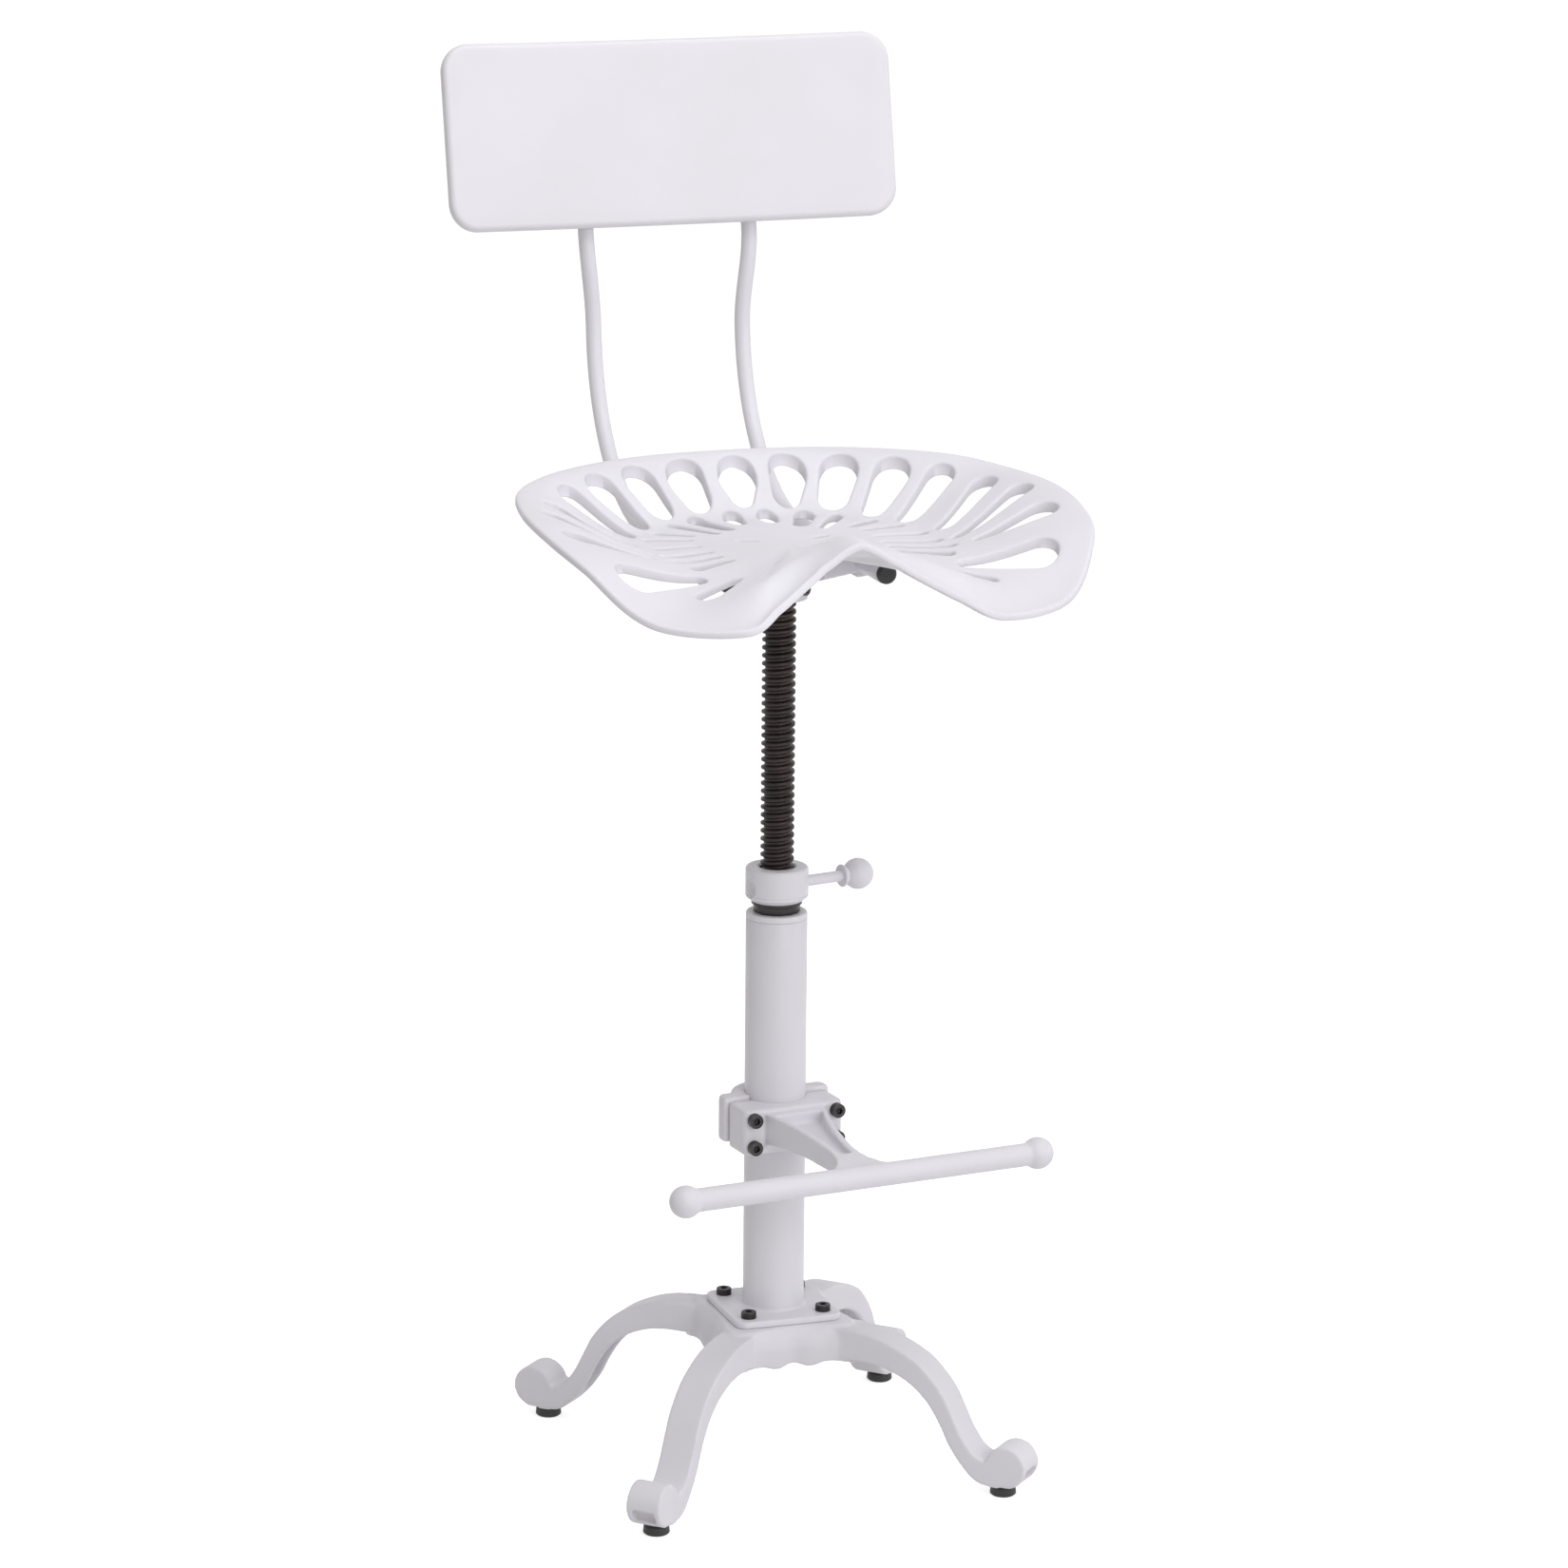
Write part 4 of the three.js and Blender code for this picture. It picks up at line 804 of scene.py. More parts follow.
def moulded(name, colour, roughness):
    """Matte moulded plastic with a fine grain."""
    material, tree, base = shader(name, colour, roughness)
    tone = tuple(c * 1.5 + 0.004 for c in colour)
    feed(tree, base, {
        "Base Color": blended(tree, ranged(tree, noise(tree, scale=80.0), 0.0, 0.5), colour, tone),
        "Roughness": ranged(tree, noise(tree, scale=400.0), roughness - 0.06, roughness + 0.08),
        "Normal": bumped(tree, [(noise(tree, scale=1400.0, detail=2.0), 0.00004, 0.5)])})
    return material


def blackened_steel():
    """The turned bush over the column: dark steel with fine rings from the lathe."""
    material, tree, base = shader("blackened_steel", bush_dark, 0.36, 0.6)
    rings = node(tree, "ShaderNodeTexWave", {
        "Vector": place_of(tree), "Scale": 260.0, "Distortion": 0.6, "Detail": 2.0},
        wave_type="BANDS", bands_direction="Z").outputs["Fac"]
    feed(tree, base, {
        "Base Color": blended(tree, ranged(tree, rings, 0.0, 0.5), bush_dark, bush_light),
        "Roughness": ranged(tree, noise(tree, scale=250.0), 0.3, 0.44),
        "Normal": bumped(tree, [(rings, 0.00004, 0.4)])})
    return material


# each finish is the record's material slot and the material
cast_coat = ("painted_castings", powder_coat("cast_coat", white, 0.00006, 0.00022, (0.42, 0.54)))
steel_coat = ("painted_steel", powder_coat("steel_coat", white, 0.00005, 0.00004, (0.36, 0.46)))
board_coat = ("painted_board", powder_coat("board_coat", board_white, 0.00003, 0.00003, (0.4, 0.48)))
screw_finish = ("black_fasteners", black_oxide())
bush_finish = ("black_fasteners", blackened_steel())
thread_finish = ("screw_steel", oiled_thread())
plastic_finish = ("black_plastic", moulded("plastic_black", plastic_grey, 0.55))
nylon_finish = ("guide_nylon", moulded("nylon", nylon_cream, 0.5))


# Stage, camera and lights
def make_camera():
    """The photograph's own view."""
    forward = Vector((
        -math.sin(camera_azimuth) * math.cos(camera_pitch),
        math.cos(camera_azimuth) * math.cos(camera_pitch), -math.sin(camera_pitch)))
    right = forward.cross(Vector((0, 0, 1))).normalized()
    up = right.cross(forward)
    across = right * math.cos(camera_roll) + up * math.sin(camera_roll)
    above = up * math.cos(camera_roll) - right * math.sin(camera_roll)
    data = bpy.data.cameras.new("camera")
    data.lens = camera_lens
    data.sensor_width = camera_sensor
    data.clip_end = camera_far
    camera = placed("camera", data)
    turn = Matrix((across, above, -forward)).transposed()
    camera.matrix_world = Matrix.Translation(foot + camera_place) @ turn.to_4x4()
    bpy.context.scene.camera = camera


def seen_directly(tree):
    """One for rays of the camera, of reflections and of clear materials, and zero for the rest."""
    path = node(tree, "ShaderNodeLightPath", {}).outputs
    seen = path["Is Camera Ray"]
    for ray in ("Is Glossy Ray", "Is Transmission Ray"):
        seen = node(tree, "ShaderNodeMath", {0: seen, 1: path[ray]}, operation="MAXIMUM").outputs[0]
    return seen


def make_world():
    """A white surround that lights the stool softly and shows as plain white."""
    world = bpy.data.worlds.new("studio")
    world.use_nodes = True
    bpy.context.scene.world = world
    tree = world.node_tree
    feed(tree, tree.nodes["Background"], {
        "Color": blended(tree, seen_directly(tree), world_tint, (1, 1, 1)),
        "Strength": ranged(tree, seen_directly(tree), world_fill, 1.0, 0.0, 1.0)})


def make_lamp(name, place, aim, size, power, tint):
    """A square soft lamp that shines from one point of the room towards another."""
    data = bpy.data.lights.new(name, "AREA")
    data.shape = "SQUARE"
    data.size = size
    data.energy = power
    data.color = tint
    lamp = placed(name, data)
    lamp.location = foot + Vector(place)
    lamp.rotation_euler = (Vector(aim) - Vector(place)).to_track_quat("-Z", "Y").to_euler()


def make_floor():
    """A pale floor: white to the camera where it is lit, with the stool's soft shadow on it."""
    material, tree, base = shader("floor_white", floor_white, 0.9)
    grain = ranged(tree, noise(tree, scale=3.0), 0.0, 0.2)
    feed(tree, base, {
        "Base Color": blended(tree, grain, floor_white, floor_grey),
        "Specular IOR Level": 0.0,
        "Emission Color": (1, 1, 1, 1),
        "Emission Strength": ranged(tree, seen_directly(tree), 0.0, floor_glow, 0.0, 1.0)})
    mesh = bpy.data.meshes.new("floor")
    s = floor_half_size
    mesh.from_pydata([(x, y, 0) for x, y in rectangle(-s, -s, s, s)], [], [(0, 1, 2, 3)])
    mesh.materials.append(material)
    placed("floor", mesh)


# Seat casting: a thin dished shell drawn in plan, with slots of uneven width
def periodic(rows, column, mirrored=False):
    """A column of a half-turn table, carried round the full turn."""
    back = rows[-2::-1]
    sign = -1 if mirrored else 1
    angles = [row[0] for row in rows] + [360 - row[0] for row in back]
    values = [row[column] for row in rows] + [sign * row[column] for row in back]
    return np.array(angles, float), np.array(values, float)


def periodic_value(table, angle):
    """A smooth closed curve through a table, with slopes from the neighbours on either side."""
    angles, values = table
    turn = np.mod(angle, 360.0)
    last = len(angles) - 1
    i = np.clip(np.searchsorted(angles, turn, side="left") - 1, 0, last - 1)
    before = np.where(i > 0, i - 1, last - 1)
    after = np.where(i + 2 <= last, i + 2, 1)
    span = angles[i + 1] - angles[i]
    span_before = np.where(i > 0, angles[i] - angles[before], 360 - angles[last - 1])
    span_after = np.where(i + 2 <= last, angles[after] - angles[i + 1], angles[1])
    slope_here = (values[i + 1] - values[before]) / (span + span_before) * span
    slope_next = (values[after] - values[i]) / (span + span_after) * span
    return hermite((turn - angles[i]) / span, values[i], values[i + 1], slope_here, slope_next)


rim_x = periodic(seat_rim_shares, 1, True)
rim_y = periodic(seat_rim_shares, 2)
rim_z = periodic(seat_rim_shares, 3)
wall_start = periodic(seat_wall_shares, 1)
wall_end = periodic(seat_wall_shares, 2)
bead_depth = periodic(seat_depth_shares, 1)
lip_drop = periodic(seat_lip_shares, 1)
seat_centre = np.array((0, seat_centre_y))


def rim_reach(angle):
    """The rim's offset in plan from the centre of the seat, at angles from the back."""
    reach = periodic_value(rim_y, angle)
    across = periodic_value(rim_x, angle) * seat_half_width
    along = reach * np.where(reach > 0, seat_back_reach, seat_front_reach)
    return np.stack([across, along], axis=-1)


fan_angles = np.linspace(0, 360, seat_fan_steps + 1)
fan_reach = rim_reach(fan_angles)
fan_bearing = np.unwrap(np.arctan2(fan_reach[:, 0], fan_reach[:, 1]))


def seat_rays(plan):
    """The ray and the share along it of each point in plan."""
    offset = plan - seat_centre
    bearing = np.mod(np.arctan2(offset[:, 0], offset[:, 1]), 2 * math.pi)
    angle = np.interp(bearing, fan_bearing, fan_angles)
    share = np.linalg.norm(offset, axis=1) / np.linalg.norm(rim_reach(angle), axis=1)
    return angle, share


def part_way(share, start, end):
    """How far a share lies between two others, from 0 to 1."""
    return np.clip((share - start) / (end - start), 0, 1)


def seat_height(plan):
    """The height of the seat's top surface over points in plan."""
    angle, share = seat_rays(plan)
    climb = part_way(share, periodic_value(wall_start, angle), periodic_value(wall_end, angle))
    lip = periodic_value(lip_drop, angle)
    curl = eased(part_way(share, seat_lip_start, 1))
    rise = eased(climb) * (periodic_value(rim_z, angle) + lip) - curl * lip
    return seat_floor + rise * seat_rim_height


def seat_depth(plan):
    """The depth of the casting over points in plan: deepest along the bead inside the rim."""
    angle, share = seat_rays(plan)
    inner = part_way(share, seat_disc_share, seat_bead_share)
    outer = part_way(share, seat_bead_share, 1)
    return seat_thickness * (1 + (periodic_value(bead_depth, angle) - 1) * (inner - outer))


def seat_normals(plan):
    """Unit normals of the seat's top surface over points in plan."""
    slopes = [(seat_height(plan + step) - seat_height(plan - step)) / (2 * slope_step)
              for step in (np.array((slope_step, 0)), np.array((0, slope_step)))]
    normals = np.stack([-slopes[0], -slopes[1], np.ones(len(plan))], axis=1)
    return normals / np.linalg.norm(normals, axis=1, keepdims=True)


def slot_ends(row, side):
    """The centres and radii of the two round ends of a slot, in plan."""
    outer_angle, outer, inner_angle, inner, outer_share, inner_share = row
    start = seat_centre + inner * rim_reach(np.array(side * inner_angle))
    end = seat_centre + outer * rim_reach(np.array(side * outer_angle))
    way = (end - start) / np.linalg.norm(end - start)
    near = inner_share * slot_width / 2
    far = outer_share * slot_width / 2
    return start + way * near, end - way * far, near, far


seat_slots = []
for slot_row in seat_slot_shares:
    for slot_side in (1, -1) if slot_row[0] > 0 else (1,):
        seat_slots.append(slot_ends(slot_row, slot_side))


def slot_outline(slot, grow):
    """The outline of a slot, grown by a distance, as points in plan."""
    near_centre, far_centre, near, far = slot
    run = far_centre - near_centre
    way = math.atan2(run[1], run[0])
    lean = math.asin((far - near) / np.linalg.norm(run))
    points = []
    for centre, radius, middle, half in (
            (far_centre, far + grow, way, quarter + lean),
            (near_centre, near + grow, way + math.pi, quarter - lean)):
        steps = max(8, int(2 * half * radius / slot_spacing))
        points.extend(arc(centre, radius, math.degrees(middle - half), math.degrees(middle + half), steps))
    return divided(points, slot_spacing)


def slot_distance(plan):
    """The distance in plan from each point to the nearest slot, negative inside it."""
    nearest = np.full(len(plan), np.inf)
    for near_centre, far_centre, near, far in seat_slots:
        p = plan - near_centre
        run = far_centre - near_centre
        h = run @ run
        q = np.stack([np.abs(p @ np.array((run[1], -run[0]))), p @ run], axis=1) / h
        b = near - far
        c = np.array((math.sqrt(h - b * b), b))
        k = c[0] * q[:, 1] - c[1] * q[:, 0]
        m = c @ q.T
        n = np.sum(q * q, axis=1)
        distance = np.where(
            k < 0, np.sqrt(h * n) - near,
            np.where(k > c[0], np.sqrt(np.maximum(h * (n + 1 - 2 * q[:, 1]), 0)) - far, m - near))
        nearest = np.minimum(nearest, distance)
    return nearest


def seat_edge_distance(plan):
    """The distance along its ray from each point to the seat's outer edge."""
    angle, share = seat_rays(plan)
    return (1 - share) * np.linalg.norm(rim_reach(angle), axis=1) + seat_edge_reach


def seat_outline(inset):
    """The seat's outer edge in plan, moved inwards along the rays."""
    reach = rim_reach(np.linspace(0, 360, seat_edge_samples + 1)[:-1])
    length = np.linalg.norm(reach, axis=1, keepdims=True)
    line = seat_centre + reach * (1 + (seat_edge_reach - inset) / length)
    closed = np.vstack([line, line[:1]])
    along = np.concatenate([[0], np.cumsum(np.linalg.norm(np.diff(closed, axis=0), axis=1))])
    wanted = np.linspace(0, along[-1], int(along[-1] / seat_edge_spacing) + 1)[:-1]
    return np.stack([np.interp(wanted, along, closed[:, k]) for k in (0, 1)], axis=1)


def rounding(distance, radius):
    """How far a surface falls at a distance from an edge that is rounded to a radius."""
    left = np.clip(radius - distance, 0, radius)
    return radius - np.sqrt(radius**2 - left**2)


def planar_mesh(loops, inner, keep):
    """Triangles over closed loops of plan points and loose points between them."""
    edges = []
    start = 0
    for loop in loops:
        count = len(loop)
        edges.extend((start + i, start + (i + 1) % count) for i in range(count))
        start += count
    points = [Vector(p) for p in np.concatenate([*loops, inner]).tolist()]
    made = delaunay_2d_cdt(points, edges, [], 0, merge_distance, False)
    plan = np.array([tuple(p) for p in made[0]])
    faces = np.array([face for face in made[2] if len(face) == 3])
    faces = faces[keep(plan[faces].mean(axis=1))]
    used = np.unique(faces)
    places = np.full(len(plan), -1)
    places[used] = np.arange(len(used))
    return plan[used], places[faces]


def two_sided(top, under, faces):
    """A closed shell between two sheets with the same triangles."""
    count = len(top)
    edges = {edge: True for a, b, c in faces.tolist() for edge in ((a, b), (b, c), (c, a))}
    walls = [(b, a, a + count, b + count) for a, b in edges if (b, a) not in edges]
    below = faces[:, ::-1] + count
    return np.concatenate([top, under]), faces.tolist() + below.tolist() + walls


def make_seat():
    """The cast seat: the dish, its curled edge and its slots with soft edges."""
    loops = [seat_outline(inset) for inset in seat_rim_steps]
    loops += [slot_outline(slot, grow) for slot in seat_slots for grow in slot_edge_steps]
    side, front, back = seat_grid_margins
    rows = np.arange(-seat_front_reach - front, seat_back_reach + back, seat_grid * math.sqrt(3) / 2)
    columns = np.arange(-seat_half_width - side, seat_half_width + side, seat_grid)
    half = seat_grid / 2
    inner = np.array([(x + (i % 2) * half, y + seat_centre_y) for i, y in enumerate(rows) for x in columns])
    inner = inner[seat_edge_distance(inner) > seat_rim_steps[-1] + half]
    inner = inner[slot_distance(inner) > slot_edge_steps[-1] + half]
    plan, faces = planar_mesh(
        loops, inner, lambda p: (slot_distance(p) > 0) & (seat_edge_distance(p) > 0))
    to_slot = np.maximum(slot_distance(plan), 0)
    to_rim = np.maximum(seat_edge_distance(plan), 0)
    normals = seat_normals(plan)
    fall = np.maximum(rounding(to_slot, slot_top_round), rounding(to_rim, rim_top_round))
    top = np.column_stack([plan, seat_height(plan)]) - normals * fall[:, None]
    # the slots' walls stand upright, the rest of the underside follows the top's normals
    upright = eased(1 - np.clip(to_slot / (2 * seat_thickness), 0, 1))
    depth = seat_depth(plan)[:, None]
    target = plan - (1 - upright)[:, None] * normals[:, :2] * depth
    source = plan.copy()
    for _ in range(underside_rounds):
        source = target + depth * seat_normals(source)[:, :2]
    ground = seat_normals(source)
    rise = np.maximum(rounding(to_slot, slot_under_round), rounding(to_rim, rim_under_round))
    under = np.column_stack([target, seat_height(source) - depth[:, 0] * ground[:, 2]])
    under += ground * rise[:, None]
    piece("seat_shell", "seat", "seat_casting", cast_coat, two_sided(top, under, faces), sharp=60)


# Base casting
def leg_line(shares):
    """A line on the side of a leg, from shares of its reach and height."""
    return [(r * glide_radial, z * hub_top) for r, z in shares]


def leg_outline():
    """A leg seen from the side: its top line, its scroll and its underside."""
    scroll = arc(scroll_place, scroll_radius, *scroll_turn, steps=40)
    under = catmull([scroll[-1]] + leg_line(leg_under_shares)[::-1], leg_steps)
    return catmull(leg_line(leg_top_shares), leg_steps) + scroll + under[1:]


def channel_outline():
    """The hollow under a leg; its roof keeps a share of the leg's depth."""
    tops, unders = (np.array(leg_line(shares)[1:-2]) for shares in (leg_top_shares, leg_under_shares))
    upper = tops + (unders - tops) * leg_roof_share
    lower = unders - (tops - unders) * leg_roof_share
    return catmull(upper, leg_steps) + catmull(lower[::-1], leg_steps)


def hub_ring(half, height, lobe, wave):
    """One level of the hub: a square with bulging corners and shallow lobes."""
    ring = []
    for angle in round_angles(hub_segments):
        ripple = math.cos(hub_lobes * angle + math.pi)
        power = abs(math.cos(angle))**hub_squareness + abs(math.sin(angle))**hub_squareness
        corner = hub_corner_reach * math.sin(2 * angle)**4
        radius = half * power**(-1 / hub_squareness) + corner + lobe * ripple
        ring.append((radius * math.cos(angle), radius * math.sin(angle), height - wave * ripple))
    return ring


def make_base():
    """The hub and its four legs as one casting."""
    bottom = hub_top - hub_skirt
    roof = hub_top - hub_roof
    inner = hub_half - hub_wall
    rings = [
        hub_ring(inner - hub_wall, roof, 0, 0),
        hub_ring(inner, bottom, hub_lobe, hub_lobe),
        hub_ring(hub_half - hub_lobe, bottom, hub_lobe, hub_lobe),
        hub_ring(hub_half, hub_top - hub_skirt / 2, hub_lobe, 0),
        hub_ring(hub_half - hub_lobe, roof, hub_lobe / 2, 0),
        hub_ring(hub_top_half + hub_lobe, hub_top - hub_lobe, 0, 0),
        hub_ring(hub_top_half, hub_top, 0, 0)]
    parts = [solid(skin(rings))]
    half = leg_width / 2
    hollow = half - leg_wall
    scroll = shifted(scroll_place[0] + scroll_radius * math.cos(notch_angle), 0,
                     scroll_place[1] + scroll_radius * math.sin(notch_angle))
    notch = rectangle(-notch_depth, -notch_width / 2, notch_depth, notch_width / 2)
    for k in (1, 3, 5, 7):
        turn = about(k * math.pi / 4, "Z")
        glide = turn @ shifted(glide_radial, 0, 0)
        leg = block(leg_outline(), -half, half, turn @ stood_up, leg_round)
        cut(leg, block(channel_outline(), -hollow, hollow, turn @ stood_up))
        cut(leg, block(notch, -notch_height / 2, notch_height / 2, turn @ scroll @ about(-notch_angle, "Y")))
        cut(leg, drum(glide_radius + glide_pocket, -tool_reach, glide_seat, glide))
        parts.append(leg)
        parts.append(drum(glide_radius, glide_seat, glide_seat + glide_radius, glide))
    base = cast(parts, base_voxel, smoothing=6)
    settled("base_legs", "column_base", "base_casting", cast_coat, base, sharp=70)


def make_glides():
    """Four black glides with a slightly flared foot."""
    top = glide_height + glide_stem_length
    line = rounded([
        (0, 0, 0), (glide_radius - 1.6, 0, 0.6), (glide_radius, 1.4, 0.8),
        (glide_radius - 0.5, glide_height - 1.6, 0.8), (glide_radius - 1.6, glide_height, 0.5),
        (glide_stem_radius, glide_height, 0), (glide_stem_radius, top, 0), (0, top, 0)], 4)
    reach = glide_radial / math.sqrt(2)
    for i, (x, y) in enumerate(((1, 1), (-1, 1), (-1, -1), (1, -1))):
        piece(f"glide_{i + 1}", "column_base", f"foot_glide_{i + 1}", plastic_finish,
              lathe(line, segments=56), shifted(x * reach, y * reach, 0))


# Plate, column, ring, bush and collar: the points of a rounded line end with their fillet radius
def make_plate():
    """The flange plate with its four holes."""
    outline = rounded_rectangle(plate_half, plate_half, plate_corner, steps=12)
    plate = block(outline, hub_top, plate_top, edge=plate_edge)
    for x, y in corners(plate_screw_offset, plate_screw_offset):
        hole = shifted(x, y, 0)
        cut(plate, drum(screw_hole, hub_top - tool_reach, plate_top + tool_reach, hole, segments=32))
    settled("flange_plate_coat", "column_base", "flange_plate", steel_coat, plate, sharp=50)


def make_column():
    """The column tube with the weld round its foot."""
    bead_centre = (tube_radius + weld_fillet, plate_top + weld_fillet)
    profile = [(tube_inner, plate_top)] + arc(bead_centre, weld_fillet, 270, 180, steps=7)
    heights = np.linspace(plate_top + 2 * weld_fillet, tube_top - 0.4, 12)
    profile += [(tube_radius, h) for h in heights]
    profile += [(tube_radius - 0.35, tube_top), (tube_inner, tube_top)]
    vertices, faces = lathe(profile, segments=128)
    angle = np.arctan2(vertices[:, 1], vertices[:, 0])
    reach = np.hypot(vertices[:, 0], vertices[:, 1])
    bead = np.clip((plate_top + weld_fillet - vertices[:, 2]) / weld_fillet, 0, 1) * (reach > tube_radius)
    ripple = 1 + bead * weld_ripple / tube_radius * (
        np.sin(weld_waves[0] * angle) + weld_second_share * np.sin(weld_waves[1] * angle + 1))
    vertices[:, :2] *= ripple[:, None]
    piece("column_coat", "column_base", "column_tube", steel_coat, (vertices, faces))


def make_top_ring():
    """The ring let into the column's top."""
    skirt = tube_inner - play
    bottom = tube_top - ring_skirt
    line = rounded([
        (skirt, tube_top, 0), (tube_radius, tube_top + 0.25, 0.3), (tube_radius, ring_top, ring_round),
        (ring_bore, ring_top, 0.8), (ring_bore, bottom, 0), (skirt, bottom, 0)])
    piece("top_ring_coat", "column_base", "column_top_ring", steel_coat, lathe(line, segments=128))


def make_bush():
    """The black bush that the screw turns in: a cone with a lip, cut by a fine groove."""
    stem = bush_bore + bush_wall
    waist = ring_top + bush_height / 2
    line = rounded([
        (bush_bore, ring_top - bush_drop, 0), (stem, ring_top - bush_drop, 0), (stem, ring_top, 0),
        (bush_foot_radius - 0.8, ring_top, 0), (bush_foot_radius, ring_top + 0.8, 0.4),
        ((bush_foot_radius + bush_head_radius) / 2 - 0.6, waist, 0.5),
        (bush_head_radius - 1.1, bush_top - 2.6, 0.3), (bush_head_radius, bush_top - 2.2, 0.3),
        (bush_head_radius, bush_top, 0.4), (bush_bore, bush_top, 0)])
    piece("bush_black", "column_base", "thread_bush", bush_finish, lathe(line, segments=128))


def make_collar():
    """The lock collar: a groove round it, a drilled side and a bored dimple on the other."""
    groove = bush_top + collar_groove_lift
    line = rounded([
        (collar_bore, bush_top, 0), (collar_radius - collar_chamfer, bush_top, 0.8),
        (collar_radius, bush_top + 0.8 * collar_chamfer, 2.2),
        (collar_radius, groove - collar_groove, 0.15), (collar_radius - collar_groove, groove, 0.2),
        (collar_radius, groove + collar_groove, 0.15), (collar_radius, collar_top, collar_round),
        (collar_bore + 1.4, collar_top, 0.5), (collar_bore, collar_top - 1.2, 0.5)])
    collar = solid(lathe(line, segments=160))
    lift = bush_top + handle_lift
    outside = 2 * collar_radius
    cut(collar, drum(handle_rod_radius + play, 0, outside, pointing(handle_azimuth, lift), segments=48))
    floor = collar_radius - dimple_depth
    dimple = [(r * dimple_radius, floor + z * dimple_depth) for r, z in dimple_shares]
    dimple += [(1.15 * dimple_radius, collar_radius), (1.4 * dimple_radius, outside), (0, outside)]
    cut(collar, solid(lathe(dimple, segments=64), pointing(handle_azimuth + math.pi, lift)))
    settled("collar_coat", "column_base", "lock_collar", steel_coat, collar, sharp=38)


def make_handle():
    """The lock handle: a bar into the collar and a ball knob with a flange."""
    place = pointing(handle_azimuth, bush_top + handle_lift)
    end = knob_radial - knob_socket / 2
    line = rounded([(0, handle_tip_radial, 0), (handle_rod_radius, handle_tip_radial, 0.8),
                    (handle_rod_radius, end, 0.4), (0, end, 0)])
    piece("handle_bar", "lock_handle", "lock_handle_rod", steel_coat, lathe(line, segments=48), place)
    low = handle_flange_radial
    middle = low + handle_flange_thickness / 2
    high = low + handle_flange_thickness
    line = rounded([
        (0, low, 0), (handle_flange_radius, low, 1.0), (handle_flange_radius, middle, 0.3),
        (handle_flange_radius - 0.7, middle + 0.2, 0.2), (handle_flange_radius - 0.7, high, 0.7),
        (handle_neck_radius, high + 0.6, 0.6)])
    start = math.degrees(math.asin(handle_neck_radius / knob_radius)) - 90
    line += arc((0, knob_radial), knob_radius, start, 90, steps=24)
    piece("handle_knob", "lock_handle", "lock_handle_knob", steel_coat, lathe(line, segments=64), place)


# Threaded rod, its guide, washer and screw
def make_rod():
    """The rod as one helical thread with rounded crests over its whole length, and its spigot."""
    count = int((rod_top - rod_foot) / thread_pitch * rod_rows)
    heights = np.linspace(rod_foot, rod_top, count)
    turn = np.arange(rod_segments) / rod_segments
    phase = (heights[:, None] - rod_foot) / thread_pitch - turn[None, :] - thread_crest_share / 2
    wave = 0.5 + 0.5 * np.cos(2 * math.pi * phase)
    sharp = np.clip((wave - 0.5) * thread_sharpness + 0.5, 0, 1)
    radius = rod_radius - thread_depth * (1 - eased(sharp))
    for k, thinner in enumerate(rod_end_cuts):
        for row in (k, -1 - k):
            radius[row] = np.minimum(radius[row], rod_radius - thinner)
    angles = round_angles(rod_segments)
    spigot = (rod_foot - rod_spigot_length, rod_foot - spigot_gap)
    rings = [circle(rod_spigot_radius, h, angles) for h in spigot]
    rings += [circle(row, h, angles) for row, h in zip(radius, heights)]
    piece("rod_thread", "seat", "threaded_rod", thread_finish, skin(rings), sharp=65)


def make_rod_foot():
    """The guide, washer and screw on the rod's foot, inside the column."""
    foot_end = rod_foot - rod_spigot_length
    outer = tube_inner - guide_clearance
    bore = rod_spigot_radius + play
    line = rounded([(bore, foot_end + play, 0), (outer, foot_end + play, 1),
                    (outer, rod_foot - play, 1), (bore, rod_foot - play, 0)], 4)
    piece("guide_ring", "screw_guide", "rod_guide", nylon_finish, lathe(line, segments=96))
    washer_low = foot_end - stop_washer_thickness
    hole = stop_screw[2] + play
    line = rounded([(hole, washer_low, 0), (stop_washer_radius, washer_low, 0.4),
                    (stop_washer_radius, foot_end, 0.4), (hole, foot_end, 0)], 3)
    piece("stop_washer", "seat", "rod_stop_washer", screw_finish, lathe(line, segments=64))
    make_screw("stop_screw", "seat", "rod_stop_screw", stop_screw, shifted(0, 0, washer_low) @ upside_down)


